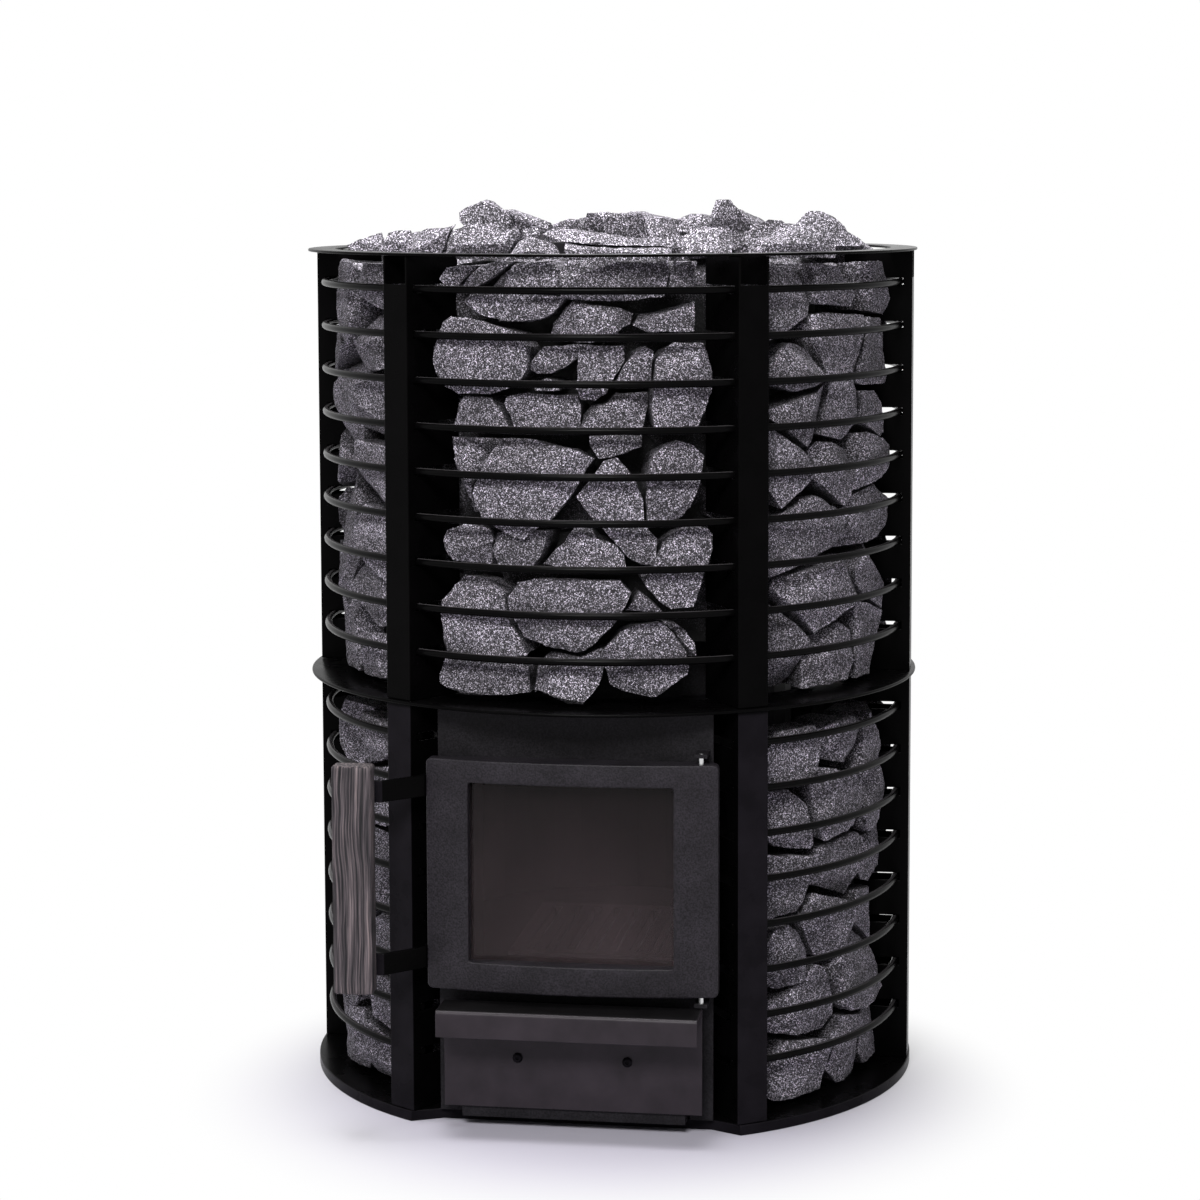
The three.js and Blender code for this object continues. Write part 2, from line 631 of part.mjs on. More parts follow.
function doorBlank() {
  const radius = (DOOR_HALF ** 2 + DOOR_BOW ** 2) / (2 * DOOR_BOW);
  const spread = Math.asin(DOOR_HALF / radius);
  const plan = new THREE.Shape();
  plan.moveTo(DOOR_HALF, -DOOR_BACK);
  plan.lineTo(-DOOR_HALF, -DOOR_BACK);
  plan.absarc(0, radius - doorMiddle, radius, -Math.PI / 2 - spread, -Math.PI / 2 + spread, false);
  const bowed = plate(plan, DOOR_BOTTOM - OVERCUT, DOOR_TOP + OVERCUT, 8);
  const face = roundedRect(DOOR_HALF, DOOR_BOTTOM, DOOR_TOP, DOOR_CORNER);
  return bowed.intersect(frontPlate(face, -doorMiddle - OVERCUT, -DOOR_BACK + OVERCUT));
}

function buildDoor() {
  const window = roundedRect(WINDOW_HALF, WINDOW_BOTTOM, WINDOW_TOP, WINDOW_CORNER);
  const pocket = roundedRect(pocketHalf, pocketBottom, pocketTop, WINDOW_CORNER);
  const boreDepth = PIN_IN_DOOR + SEAT_GAP;
  const frame = cut(
    doorBlank(),
    frontPlate(window, -doorMiddle - OVERCUT, -DOOR_BACK + OVERCUT),
    frontPlate(pocket, pocketFront, -DOOR_BACK + OVERCUT),
    post(pinBore, HINGE_X, HINGE_Y, DOOR_BOTTOM - OVERCUT, DOOR_BOTTOM + boreDepth, PIN_FACETS),
    post(pinBore, HINGE_X, HINGE_Y, DOOR_TOP - boreDepth, DOOR_TOP + OVERCUT, PIN_FACETS),
  );
  addPart('door_frame', frame, materials.castIron);

  const paneHalf = pocketHalf - SEAT_GAP;
  const pane = roundedRect(paneHalf, pocketBottom + SEAT_GAP, pocketTop - SEAT_GAP, WINDOW_CORNER);
  const glassFront = pocketFront + SEAT_GAP;
  const glassBack = glassFront + GLASS_THICKNESS;
  addPart('door_glass', frontPlate(pane, glassFront, glassBack), materials.glass);

  const retainerFront = glassBack + SEAT_GAP;
  const retainerBack = retainerFront + RETAINER_THICKNESS;
  const retainer = cut(
    frontPlate(pane, retainerFront, retainerBack),
    frontPlate(window, retainerFront - OVERCUT, retainerBack + OVERCUT),
  );
  addPart('glass_retainer', retainer, materials.fireboxSteel);

  const around = (lap, corner) => roundedRect(pocketHalf + lap, pocketBottom - lap, pocketTop + lap, corner);
  const sealInner = around(SEAL_LAP, WINDOW_CORNER);
  const sealOuter = around(SEAL_LAP + SEAL_WIDTH, WINDOW_CORNER + SEAL_WIDTH);
  const sealFront = -DOOR_BACK + SEAT_GAP;
  const sealBack = -PANEL_FRONT - SEAT_GAP;
  const seal = cut(
    frontPlate(sealOuter, sealFront, sealBack),
    frontPlate(sealInner, sealFront - OVERCUT, sealBack + OVERCUT),
  );
  addPart('door_seal', seal, materials.rope);

  const pinRadius = PIN_DIAMETER / 2;
  const lowerPin = post(
    pinRadius, HINGE_X, HINGE_Y, DOOR_BOTTOM - PIN_SHOWN, DOOR_BOTTOM + PIN_IN_DOOR, PIN_FACETS,
  );
  const upperPin = post(
    pinRadius, HINGE_X, HINGE_Y, DOOR_TOP - PIN_IN_DOOR, DOOR_TOP + PIN_SHOWN, PIN_FACETS,
  );
  addPart('hinge_pin_lower', lowerPin, materials.brightSteel);
  addPart('hinge_pin_upper', upperPin, materials.brightSteel);
}

// Door handle: two bent straps on the door's left edge carry an upright wooden grip

function ribbon(points, thickness) {
  const path = points.map(([x, y]) => new THREE.Vector2(x, y));
  const sides = { left: [], right: [] };
  path.forEach((point, index) => {
    const before = path[Math.max(index - 1, 0)];
    const after = path[Math.min(index + 1, path.length - 1)];
    const into = (index > 0 ? point.clone().sub(before) : after.clone().sub(point)).normalize();
    const out = (index < path.length - 1 ? after.clone().sub(point) : point.clone().sub(before)).normalize();
    const along = into.clone().add(out).normalize();
    const across = new THREE.Vector2(-along.y, along.x);
    across.multiplyScalar(thickness / 2 / along.dot(into));
    sides.left.push(point.clone().add(across));
    sides.right.unshift(point.clone().sub(across));
  });
  return new THREE.Shape([...sides.left, ...sides.right]);
}

function buildHandle() {
  const doorSide = -DOOR_HALF - SEAT_GAP - STRAP_THICKNESS / 2;
  const gripBack = -GRIP_FRONT + GRIP_THICKNESS;
  const strapLine = gripBack + SEAT_GAP + STRAP_THICKNESS / 2;
  const bendOut = -DOOR_BACK - STRAP_ON_DOOR;
  const reach = bendOut - strapLine;
  const path = [
    [doorSide, bendOut + STRAP_ON_DOOR],
    [doorSide, bendOut],
    [doorSide - reach, strapLine],
    [GRIP_CENTRE + GRIP_WIDTH / 2 - STRAP_UNDER_GRIP, strapLine],
  ];
  for (const [place, centre] of Object.entries(STRAP_CENTRES)) {
    const strap = plate(
      ribbon(path, STRAP_THICKNESS), centre - STRAP_HEIGHT / 2, centre + STRAP_HEIGHT / 2,
    );
    addPart(`handle_strap_${place}`, strap, materials.blackSteel);
  }

  const half = GRIP_WIDTH / 2 - GRIP_EDGE;
  const front = -GRIP_FRONT + GRIP_EDGE;
  const back = gripBack - GRIP_EDGE;
  const section = new THREE.Shape();
  section.absarc(GRIP_CENTRE + half, back, GRIP_EDGE, 0, Math.PI / 2);
  section.absarc(GRIP_CENTRE - half, back, GRIP_EDGE, Math.PI / 2, Math.PI);
  section.absarc(GRIP_CENTRE - half, front, GRIP_EDGE, Math.PI, Math.PI * 1.5);
  section.absarc(GRIP_CENTRE + half, front, GRIP_EDGE, Math.PI * 1.5, Math.PI * 2);
  addPart('handle_grip', plate(section, GRIP_BOTTOM, GRIP_TOP, 3), materials.wood);
}

// Ash drawer: an open box behind a front whose top edge is folded into a pull

const boxFront = -DRAWER_FACE + DRAWER_SHEET + SEAT_GAP;
const screwPlaces = { left: -SCREW_SPACING / 2, right: SCREW_SPACING / 2 };

function alongY(radius, x, z, y0, y1, facets) {
  const geometry = new THREE.CylinderGeometry(radius, radius, y1 - y0, facets);
  geometry.translate(x, (y0 + y1) / 2, z);
  return solidOf(geometry);
}

function screwBores() {
  const bore = SCREW_SHANK / 2 + PIN_BORE_GAP;
  return Object.values(screwPlaces).map((x) => {
    return alongY(bore, x, SCREW_Z, -DRAWER_FACE - OVERCUT, boxFront + ASH_BOX_SHEET + OVERCUT, PIN_FACETS);
  });
}

// Front view of the ledge's turned-down lip, with rounded lower corners
function lipOutline() {
  const inner = DRAWER_HALF - LIP_CORNER;
  const level = LIP_BOTTOM + LIP_CORNER;
  const shape = new THREE.Shape();
  shape.moveTo(-DRAWER_HALF, DRAWER_TOP);
  shape.absarc(-inner, level, LIP_CORNER, Math.PI, Math.PI * 1.5);
  shape.absarc(inner, level, LIP_CORNER, Math.PI * 1.5, Math.PI * 2);
  shape.lineTo(DRAWER_HALF, DRAWER_TOP);
  return shape;
}

function buildDrawer() {
  const width = [-DRAWER_HALF, DRAWER_HALF];
  const faceBack = -DRAWER_FACE + DRAWER_SHEET;
  const face = block(width, [-DRAWER_FACE, faceBack], [DRAWER_BOTTOM, DRAWER_TOP]);
  const ledge = block(width, [-LEDGE_FRONT, faceBack], [DRAWER_TOP - DRAWER_SHEET, DRAWER_TOP]);
  const lip = frontPlate(lipOutline(), -LEDGE_FRONT, -LEDGE_FRONT + DRAWER_SHEET);
  const front = cut(join(face, ledge, lip), ...screwBores());
  addPart('ash_drawer_front', front, materials.drawerSteel);

  const bottom = BASE_THICKNESS + SEAT_GAP;
  const sheet = ASH_BOX_SHEET;
  const box = block([-ASH_BOX_HALF, ASH_BOX_HALF], [boxFront, ASH_BOX_REAR], [bottom, ASH_BOX_TOP]);
  const hollow = block(
    [-ASH_BOX_HALF + sheet, ASH_BOX_HALF - sheet],
    [boxFront + sheet, ASH_BOX_REAR - sheet],
    [bottom + sheet, ASH_BOX_TOP + OVERCUT],
  );
  addPart('ash_drawer_box', cut(box, hollow, ...screwBores()), materials.fireboxSteel);
}

function buildDrawerScrews() {
  const head = SCREW_HEAD / 2;
  const profile = [
    [0, -SCREW_LENGTH],
    [SCREW_SHANK / 2, -SCREW_LENGTH],
    [SCREW_SHANK / 2, 0],
    [head, 0],
    [head, SCREW_HEAD_HEIGHT * 0.35],
    [head * 0.7, SCREW_HEAD_HEIGHT * 0.9],
    [head * 0.5, SCREW_HEAD_HEIGHT],
    [0, SCREW_HEAD_HEIGHT],
  ];
  const geometry = new THREE.LatheGeometry(profile.map(([x, y]) => new THREE.Vector2(x, y)), 12);
  const socket = new THREE.CylinderGeometry(SCREW_SOCKET / 2, SCREW_SOCKET / 2, 4, 6);
  socket.translate(0, SCREW_HEAD_HEIGHT, 0);
  const screw = cut(solidOf(geometry), solidOf(socket));
  for (const [place, x] of Object.entries(screwPlaces)) {
    const placed = geometryOf(screw);
    placed.rotateX(Math.PI);
    placed.translate(x, -DRAWER_FACE - SEAT_GAP, SCREW_Z);
    addPart(`drawer_screw_${place}`, solidOf(placed), materials.blackSteel);
  }
}

// Stones. A number picks the same pseudo-random value from 0 to 1 every time.

function chance(seed) {
  const value = Math.sin(seed * 12.9898 + 4.1414) * 43758.5453;
  return value - Math.floor(value);
}

function at(azimuth, radius, z) {
  const angle = radians(azimuth);
  return new THREE.Vector3(radius * Math.sin(angle), -radius * Math.cos(angle), z);
}

// Keeps the part of a polygon that lies nearer to one site than to another
function nearerPart(polygon, site, other) {
  const side = ([a, z]) => {
    const own = (a - site[0]) ** 2 + (STONE_FLATNESS * (z - site[1])) ** 2;
    const far = (a - other[0]) ** 2 + (STONE_FLATNESS * (z - other[1])) ** 2;
    return far - own;
  };
  const kept = [];
  polygon.forEach((point, index) => {
    const next = polygon[(index + 1) % polygon.length];
    const here = side(point);
    const there = side(next);
    if (here >= 0) kept.push(point);
    if (here * there < 0) {
      const share = here / (here - there);
      kept.push([point[0] + share * (next[0] - point[0]), point[1] + share * (next[1] - point[1])]);
    }
  });
  return kept;
}

// Splits a bay of the wall into one cell for each site
function wallCells(sites, bay) {
  const cells = sites.map((site) => {
    return sites.reduce((cell, other) => (other === site ? cell : nearerPart(cell, site, other)), bay);
  });
  return cells.filter((cell) => cell.length > 2);
}

function cellMiddle(cell) {
  const sum = (axis) => cell.reduce((total, point) => total + point[axis], 0);
  return [sum(0) / cell.length, sum(1) / cell.length];
}

// The points of all cells on one side of the bay, in order from one corner of the bay to the next
function sidePoints(cells, from, to) {
  const axis = from[0] === to[0] ? 1 : 0;
  const across = 1 - axis;
  const onSide = (point) => Math.abs(point[across] - from[across]) < 1e-6;
  const found = cells.flatMap((cell) => cell.filter(onSide));
  found.sort((a, b) => (a[axis] - b[axis]) * Math.sign(to[axis] - from[axis]));
  return found.filter((point, index) => index === 0 || Math.abs(point[axis] - found[index - 1][axis]) > 1e-6);
}

// Wall stones of one bay between two posts: a slab on the core's flat face with one raised stone per site
function stoneWall(sites, from, to, bottom, top, seed) {
  const degreesPerMm = 180 / Math.PI / STONE_FACE_RADIUS;
  const arcOf = (azimuth) => azimuth / degreesPerMm;
  const left = arcOf(from + BAY_MARGIN);
  const right = arcOf(to - BAY_MARGIN);
  const bay = [[left, bottom], [right, bottom], [right, top], [left, top]];
  const coreFace = CORE_RADIUS * Math.cos(radians((to - from) / 2));
  const onPlane = (distance) => ([arc, z]) => {
    const azimuth = arc * degreesPerMm;
    return at(azimuth, distance / Math.cos(radians(azimuth - (from + to) / 2)), z);
  };
  const root = onPlane(coreFace + STONE_ROOT);
  const back = onPlane(coreFace - STONE_ROOT);
  const triangles = [];
  const cells = wallCells(sites.map(([azimuth, z]) => [arcOf(azimuth), z]), bay);
  cells.forEach((cell, stoneIndex) => {
    const face = STONE_FACE_RADIUS - STONE_FACE_PLAY * chance(seed + stoneIndex);
    const middle = cellMiddle(cell);
    const ring = cell.map(([arc, z], index) => {
      const bevel = STONE_BEVEL * (0.7 + 0.6 * chance(seed + stoneIndex + index * 7.7));
      return at((arc + bevel * (middle[0] - arc)) * degreesPerMm, face, z + bevel * (middle[1] - z));
    });
    cell.forEach((point, index) => {
      const next = (index + 1) % cell.length;
      triangles.push(root(point), root(cell[next]), ring[next]);
      triangles.push(root(point), ring[next], ring[index]);
      if (index > 0 && next > 0) triangles.push(ring[0], ring[index], ring[next]);
    });
  });
  bay.forEach((corner, index) => {
    const nextCorner = bay[(index + 1) % bay.length];
    const points = sidePoints(cells, corner, nextCorner);
    triangles.push(back(nextCorner), root(corner), back(corner));
    points.slice(1).forEach((point, step) => {
      triangles.push(back(nextCorner), root(point), root(points[step]));
    });
  });
  const [b0, b1, b2, b3] = bay.map(back);
  triangles.push(b0, b3, b2, b0, b2, b1);
  return solidOf(new THREE.BufferGeometry().setFromPoints(triangles));
}

// Core rubble behind the walls: flat from post to post outside, round or flat inside
function coreRubble(walls, inner, bottom, top) {
  const shape = new THREE.Shape();
  const first = walls[0][0];
  const last = walls[walls.length - 1][1];
  const start = at(first, CORE_RADIUS, 0);
  shape.moveTo(start.x, start.y);
  for (const [, to] of walls) {
    const corner = at(to, CORE_RADIUS, 0);
    shape.lineTo(corner.x, corner.y);
  }
  shape.absarc(0, 0, inner, radians(last - 90), radians(first - 90), true);
  return plate(shape, bottom, top, 8);
}

// Sites in staggered courses, with each stone moved a little from its regular place
function courseSites(from, to, bottom, top, courses, seed) {
  const left = from + BAY_MARGIN;
  const right = to - BAY_MARGIN;
  const sites = [];
  for (let course = 0; course < courses; course += 1) {
    const count = 2 + ((course + Math.round(seed)) % 2);
    for (let index = 0; index < count; index += 1) {
      const pick = seed + course * 10 + index;
      const share = (index + 0.5 + 0.45 * (chance(pick) - 0.5)) / count;
      const rise = (course + 0.5 + 0.5 * (chance(pick + 0.5) - 0.5)) / courses;
      sites.push([left + share * (right - left), bottom + rise * (top - bottom)]);
    }
  }
  return sites;
}

// Sites of the upper front bay, from the courses drawn for it
function frontSites(tier) {
  const stretch = (tier.ceiling - tier.floor) / FRONT_BAY_HEIGHT;
  return FRONT_COURSES.flatMap(({ height, azimuths }) => {
    return azimuths.map((azimuth) => [azimuth, tier.floor + height * stretch]);
  });
}

// One heaped stone: a many-sided lump around its centre
function crownStone(stone, seed) {
  const [width, depth, height] = stone.size;
  const points = [];
  const corners = 14;
  for (let index = 0; index < corners; index += 1) {
    const level = 1 - (2 * index + 1) / corners;
    const turn = index * 2.39996 + seed;
    const girth = Math.sqrt(1 - level * level);
    const swell = 0.92 + 0.2 * chance(seed * 31 + index);
    points.push(new THREE.Vector3(
      (width / 2) * girth * Math.cos(turn) * swell,
      (depth / 2) * girth * Math.sin(turn) * swell,
      (height / 2) * Math.min(1, Math.max(-1, level * 1.25)),
    ));
  }
  const geometry = new ConvexGeometry(points);
  geometry.rotateZ(radians(stone.azimuth));
  const middle = at(stone.azimuth, stone.radius, TOP_RING_TOP + stone.rise - height / 2);
  geometry.translate(middle.x, middle.y, middle.z);
  return solidOf(geometry);
}

// Room that the posts of a tier need, with clearance, over the full depth of their legs
function postRoom(tier) {
  const half = POST_WIDTH / 2 + POST_CLEARANCE;
  const inner = -POST_RADIUS + tier.legDepth + POST_CLEARANCE;
  const outer = -POST_RADIUS - CLEAR_OF_ALL;
  const height = tier.ceiling - tier.floor + 2 * OVERCUT;
  const rooms = [];
  for (const azimuth of Object.values(POST_AZIMUTHS)) {
    for (const side of [azimuth, -azimuth]) {
      const geometry = new THREE.BoxGeometry(2 * half, inner - outer, height);
      geometry.translate(0, (inner + outer) / 2, (tier.floor + tier.ceiling) / 2);
      geometry.rotateZ(radians(side));
      rooms.push(solidOf(geometry));
    }
  }
  return rooms;
}

// A bed of stones: core and stones joined, kept inside its sector and clear of the posts
function stoneBed(name, tier, core, stones, azimuth0, azimuth1) {
  const bottom = tier.floor + SEAT_GAP;
  const gapAngle = THREE.MathUtils.radToDeg(SECTOR_GAP / CORE_RADIUS);
  const room = sector(
    FLUE_RADIUS,
    BASE_RADIUS + CLEAR_OF_ALL,
    azimuth0 + gapAngle,
    azimuth1 - gapAngle,
    bottom,
    TOP_RING_TOP + CLEAR_OF_ALL,
  );
  const bed = cut(join(core, ...stones).intersect(room), ...postRoom(tier));
  addPart(name, bed, materials.stone);
}

function buildUpperStones() {
  const tier = tiers.upper;
  const bottom = tier.floor + SEAT_GAP;
  const top = tier.ceiling - UPPER_STONE_HEADROOM;
  const coreInner = FLUE_RADIUS + CORE_FLUE_GAP;
  const coreBottom = BODY_TOP + ROOF_THICKNESS + 2 * SEAT_GAP;
  const { front, side, rear } = POST_AZIMUTHS;
  const bays = {
    front: { walls: [[-front, front]], courses: [0] },
    right: { walls: [[front, side], [side, rear]], courses: [7, 5] },
    rear: { walls: [[rear, 360 - rear]], courses: [5] },
    left: { walls: [[-rear, -side], [-side, -front]], courses: [5, 7] },
  };
  const crownHead = TOP_RING_TOP + CLEAR_OF_ALL;
  const crownRoom = ring(CROWN_RADIUS, FLUE_RADIUS + POST_CLEARANCE, BODY_TOP, crownHead, BODY_FACETS);
  Object.entries(bays).forEach(([place, bay], bayIndex) => {
    const start = bay.walls[0][0];
    const end = bay.walls[bay.walls.length - 1][1];
    const core = join(
      coreRubble(bay.walls, coreInner, coreBottom, CORE_TOP),
      coreRubble(bay.walls, BODY_RADIUS + POST_CLEARANCE, bottom + CORE_INSET, CORE_TOP),
    );
    const stones = [];
    bay.walls.forEach(([from, to], wallIndex) => {
      const seed = 100 * (bayIndex + 1) + 50 * wallIndex;
      const sites = place === 'front'
        ? frontSites(tier)
        : courseSites(from, to, bottom, top, bay.courses[wallIndex], seed);
      stones.push(stoneWall(sites, from, to, bottom, top, seed));
    });
    CROWN_STONES.forEach((stone, index) => {
      const azimuth = stone.azimuth;
      if (azimuth < start || azimuth >= end) return;
      stones.push(crownStone(stone, index + 1).intersect(crownRoom));
    });
    stoneBed(`upper_stones_${place}`, tier, core, stones, start, end);
  });
}

function buildLowerStones() {
  const tier = tiers.lower;
  const bottom = tier.floor + SEAT_GAP;
  const top = tier.ceiling - LOWER_STONE_HEADROOM;
  const coreInner = BODY_RADIUS + POST_CLEARANCE;
  const neckSide = NECK_HALF + POST_CLEARANCE;
  const neckRoom = block([-neckSide, neckSide], [-PANEL_FRONT, 0], [0, MID_RING_TOP]);
  const { front, side, rear } = POST_AZIMUTHS;
  const beds = {
    right: { walls: [[front, side], [side, rear]], courses: [6, 4] },
    rear: { walls: [[rear, 360 - rear]], courses: [4] },
    left: { walls: [[-rear, -side], [-side, -front]], courses: [4, 6] },
  };
  Object.entries(beds).forEach(([place, bed], bedIndex) => {
    const start = bed.walls[0][0];
    const end = bed.walls[bed.walls.length - 1][1];
    const core = cut(coreRubble(bed.walls, coreInner, bottom + CORE_INSET, top - CORE_INSET), neckRoom);
    const stones = [];
    bed.walls.forEach(([from, to], wallIndex) => {
      const seed = 600 + 100 * bedIndex + 50 * wallIndex;
      const sites = courseSites(from, to, bottom, top, bed.courses[wallIndex], seed);
      stones.push(stoneWall(sites, from, to, bottom, top, seed));
    });
    stoneBed(`lower_stones_${place}`, tier, core, stones, start, end);
  });
}

buildBaseAndRings();
buildPosts();
buildHoops();
buildFirebox();
buildGrate();
buildFirePanel();
buildDoor();
buildHandle();
buildDrawer();
buildDrawerScrews();
buildUpperStones();
buildLowerStones();

export default stove;
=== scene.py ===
"""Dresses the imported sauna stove: materials, loose stones, rounded metalwork, studio and camera.

Metres, +Z up, the fire door faces -Y. Azimuths are degrees from the front (-Y) towards +X.
"""

import json
import math

import bmesh
import bpy
import numpy as np
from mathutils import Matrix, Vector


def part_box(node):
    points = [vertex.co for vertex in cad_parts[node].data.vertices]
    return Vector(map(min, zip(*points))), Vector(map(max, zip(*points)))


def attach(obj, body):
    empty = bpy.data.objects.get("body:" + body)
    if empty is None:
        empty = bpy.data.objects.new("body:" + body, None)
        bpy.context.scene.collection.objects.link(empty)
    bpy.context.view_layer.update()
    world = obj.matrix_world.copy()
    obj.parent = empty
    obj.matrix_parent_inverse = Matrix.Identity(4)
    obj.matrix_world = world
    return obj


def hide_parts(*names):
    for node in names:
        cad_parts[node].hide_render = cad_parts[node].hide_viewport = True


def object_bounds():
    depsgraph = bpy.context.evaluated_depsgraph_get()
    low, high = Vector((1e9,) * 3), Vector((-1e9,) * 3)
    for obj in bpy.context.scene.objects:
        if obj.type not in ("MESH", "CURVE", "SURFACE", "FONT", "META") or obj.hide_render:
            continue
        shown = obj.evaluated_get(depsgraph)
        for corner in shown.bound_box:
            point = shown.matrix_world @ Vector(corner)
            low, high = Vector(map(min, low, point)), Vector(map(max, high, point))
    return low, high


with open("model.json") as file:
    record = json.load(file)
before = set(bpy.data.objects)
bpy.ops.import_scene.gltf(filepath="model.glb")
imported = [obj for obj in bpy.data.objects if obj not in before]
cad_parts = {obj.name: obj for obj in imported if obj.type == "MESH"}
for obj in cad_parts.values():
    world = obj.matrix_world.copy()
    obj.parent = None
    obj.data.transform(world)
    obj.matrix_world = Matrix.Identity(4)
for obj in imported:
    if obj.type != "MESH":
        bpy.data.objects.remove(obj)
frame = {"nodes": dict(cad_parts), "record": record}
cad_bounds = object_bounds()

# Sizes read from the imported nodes
BASE_LOW, BASE_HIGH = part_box("base_plate")
MID_LOW, MID_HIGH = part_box("mid_ring")
TOP_LOW, TOP_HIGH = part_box("top_ring")
DOOR_LOW, DOOR_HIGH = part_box("door_frame")
GLASS_LOW, GLASS_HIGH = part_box("door_glass")
GRIP_LOW, GRIP_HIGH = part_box("handle_grip")
FLUE_LOW, FLUE_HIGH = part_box("flue_collar")
ROOF_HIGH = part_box("firebox_roof")[1]
SHELL_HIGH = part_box("firebox_shell")[1]

# Sizes of the cage that its boxes don't show
ROD_RADIUS = 0.0035
HOOP_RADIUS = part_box("upper_hoop_1")[1][0] - ROD_RADIUS
LOWER_HOOP_OPENING = 31
MID_RING_WIDTH = 0.065
TOP_RING_WIDTH = 0.026
POST_AZIMUTHS = (34, 90, 146)
ROUND_STEPS = 192

# Stones
STONE_FACE = HOOP_RADIUS - ROD_RADIUS - 0.0032
BAY_MARGIN = 4.6
STONE_FLATNESS = 1.1
LOWER_STONE_HEADROOM = 0.022
STONE_SKIN = 0.003
CROWN_GAP = 2.2
CROWN_RISE = 1.08
FLUE_GAP = 0.006
FINE, PLAIN, ROUGH = 0.0046, 0.007, 0.022

# Outlines of the stones of the upper front bay, clockwise from the left, in millimetres: along the face from
# the middle of the front, and up from the mid ring
FRONT_STONES = (
    ((-138, 390), (-130, 402), (-112, 405), (-92, 404), (-117, 383), (-130, 384)),
    ((-116, 382), (-92, 403), (-68, 409), (-56, 408), (-66, 400), (-98, 381)),
    ((-84, 381), (-74, 391), (-52, 406), (-16, 409), (-9, 400), (-9, 380)),
    ((-7, 374), (-9, 400), (-2, 409), (92, 409), (95, 398), (90, 375), (40, 371)),
    ((95, 382), (96, 400), (100, 408), (124, 408), (121, 400), (121, 381)),
    ((-105, 371), (-98, 378), (-40, 379), (-2, 377), (-15, 361), (-30, 354), (-48, 351), (-66, 353), (-88, 359)),
    ((-22, 334), (-18, 352), (-8, 364), (6, 375), (16, 370), (46, 367), (61, 361), (58, 352), (46, 345), (47, 335)),
    ((61, 350), (68, 360), (95, 363), (120, 371), (119, 344), (75, 343)),
    ((-138, 315), (-133, 336), (-125, 352), (-117, 358), (-100, 357), (-50, 346), (-40, 331), (-40, 310),
     (-46, 300), (-60, 291), (-78, 286), (-112, 286), (-128, 291), (-137, 303)),
    ((-40, 310), (-36, 318), (-26, 331), (8, 333), (8, 321), (-6, 311), (-20, 305), (-33, 305)),
    ((-38, 297), (-24, 303), (-8, 299), (-10, 290), (-34, 290)),
    ((7, 293), (8, 312), (10, 333), (51, 333), (52, 318), (42, 304), (34, 288), (24, 281), (11, 282)),
    ((43, 297), (53, 316), (61, 326), (72, 331), (79, 327), (78, 297)),
    ((76, 275), (79, 300), (81, 318), (92, 331), (100, 335), (126, 334), (132, 324), (138, 306), (137, 288),
     (130, 270), (123, 256), (80, 256)),
    ((-122, 255), (-117, 272), (-109, 285), (-80, 284), (-70, 274), (-60, 256)),
    ((-54, 256), (-64, 278), (-60, 285), (-46, 288), (6, 287), (10, 277), (9, 256)),
    ((10, 256), (12, 268), (21, 277), (35, 280), (44, 289), (75, 290), (75, 278), (69, 256)),
    ((-128, 247), (-74, 248), (-77, 235), (-90, 217), (-99, 204), (-102, 189), (-101, 174), (-112, 172),
     (-120, 184), (-123, 204), (-120, 230)),
    ((-97, 190), (-95, 206), (-75, 237), (-70, 249), (-40, 249), (-15, 243), (8, 238), (24, 231), (14, 217),
     (2, 195), (-18, 172), (-32, 163), (-43, 154), (-52, 155), (-86, 172)),
    ((18, 240), (18, 250), (69, 252), (68, 240), (56, 235), (45, 231), (28, 229)),
    ((6, 195), (20, 212), (32, 227), (44, 231), (53, 222), (63, 207), (70, 188), (70, 169), (25, 169), (14, 182)),
    ((72, 190), (73, 215), (78, 232), (86, 239), (103, 246), (120, 241), (132, 231), (124, 206), (114, 183),
     (104, 171), (74, 170)),
    ((-134, 149), (-131, 159), (-112, 166), (-83, 163), (-77, 155), (-80, 140), (-84, 128), (-122, 130), (-131, 140)),
    ((-77, 143), (-75, 159), (-50, 165), (-22, 163), (-24, 150), (-29, 138), (-38, 127), (-70, 127)),
    ((-30, 129), (-18, 143), (-6, 152), (-3, 159), (3, 168), (18, 169), (26, 157), (43, 150), (51, 140), (53, 127)),
    ((30, 168), (72, 169), (82, 156), (81, 131), (66, 131), (54, 139), (46, 149)),
    ((67, 121), (76, 131), (84, 143), (90, 154), (101, 164), (115, 168), (131, 166), (138, 160), (135, 145),
     (127, 122), (117, 91), (97, 90), (84, 98), (72, 111)),
    ((-133, 92), (-122, 106), (-111, 120), (-82, 118), (-64, 105), (-61, 84), (-47, 62), (-41, 46), (-128, 46),
     (-130, 78)),
    ((-59, 84), (-61, 104), (-50, 117), (-30, 120), (48, 120), (58, 108), (53, 96), (44, 80), (30, 66), (20, 56),
     (8, 51), (-14, 55), (-30, 60), (-46, 63)),
    ((52, 88), (66, 108), (76, 101), (88, 88)),
    ((30, 46), (34, 58), (46, 72), (60, 79), (86, 80), (98, 70), (108, 52), (112, 38), (110, 30), (94, 18),
     (82, 9), (60, 11), (37, 19), (33, 36)),
    ((89, 80), (103, 77), (112, 71), (120, 58), (121, 46), (110, 46), (100, 68)),
    ((-137, 22), (-133, 38), (-126, 44), (-64, 45), (-43, 37), (-41, 11), (-62, 9), (-92, 6), (-115, 8), (-135, 15)),
    ((-38, 13), (-36, 36), (-28, 46), (-20, 52), (10, 48), (24, 55), (33, 58), (33, 40), (27, 20), (12, 4),
     (-2, 3), (-18, 10)),
)

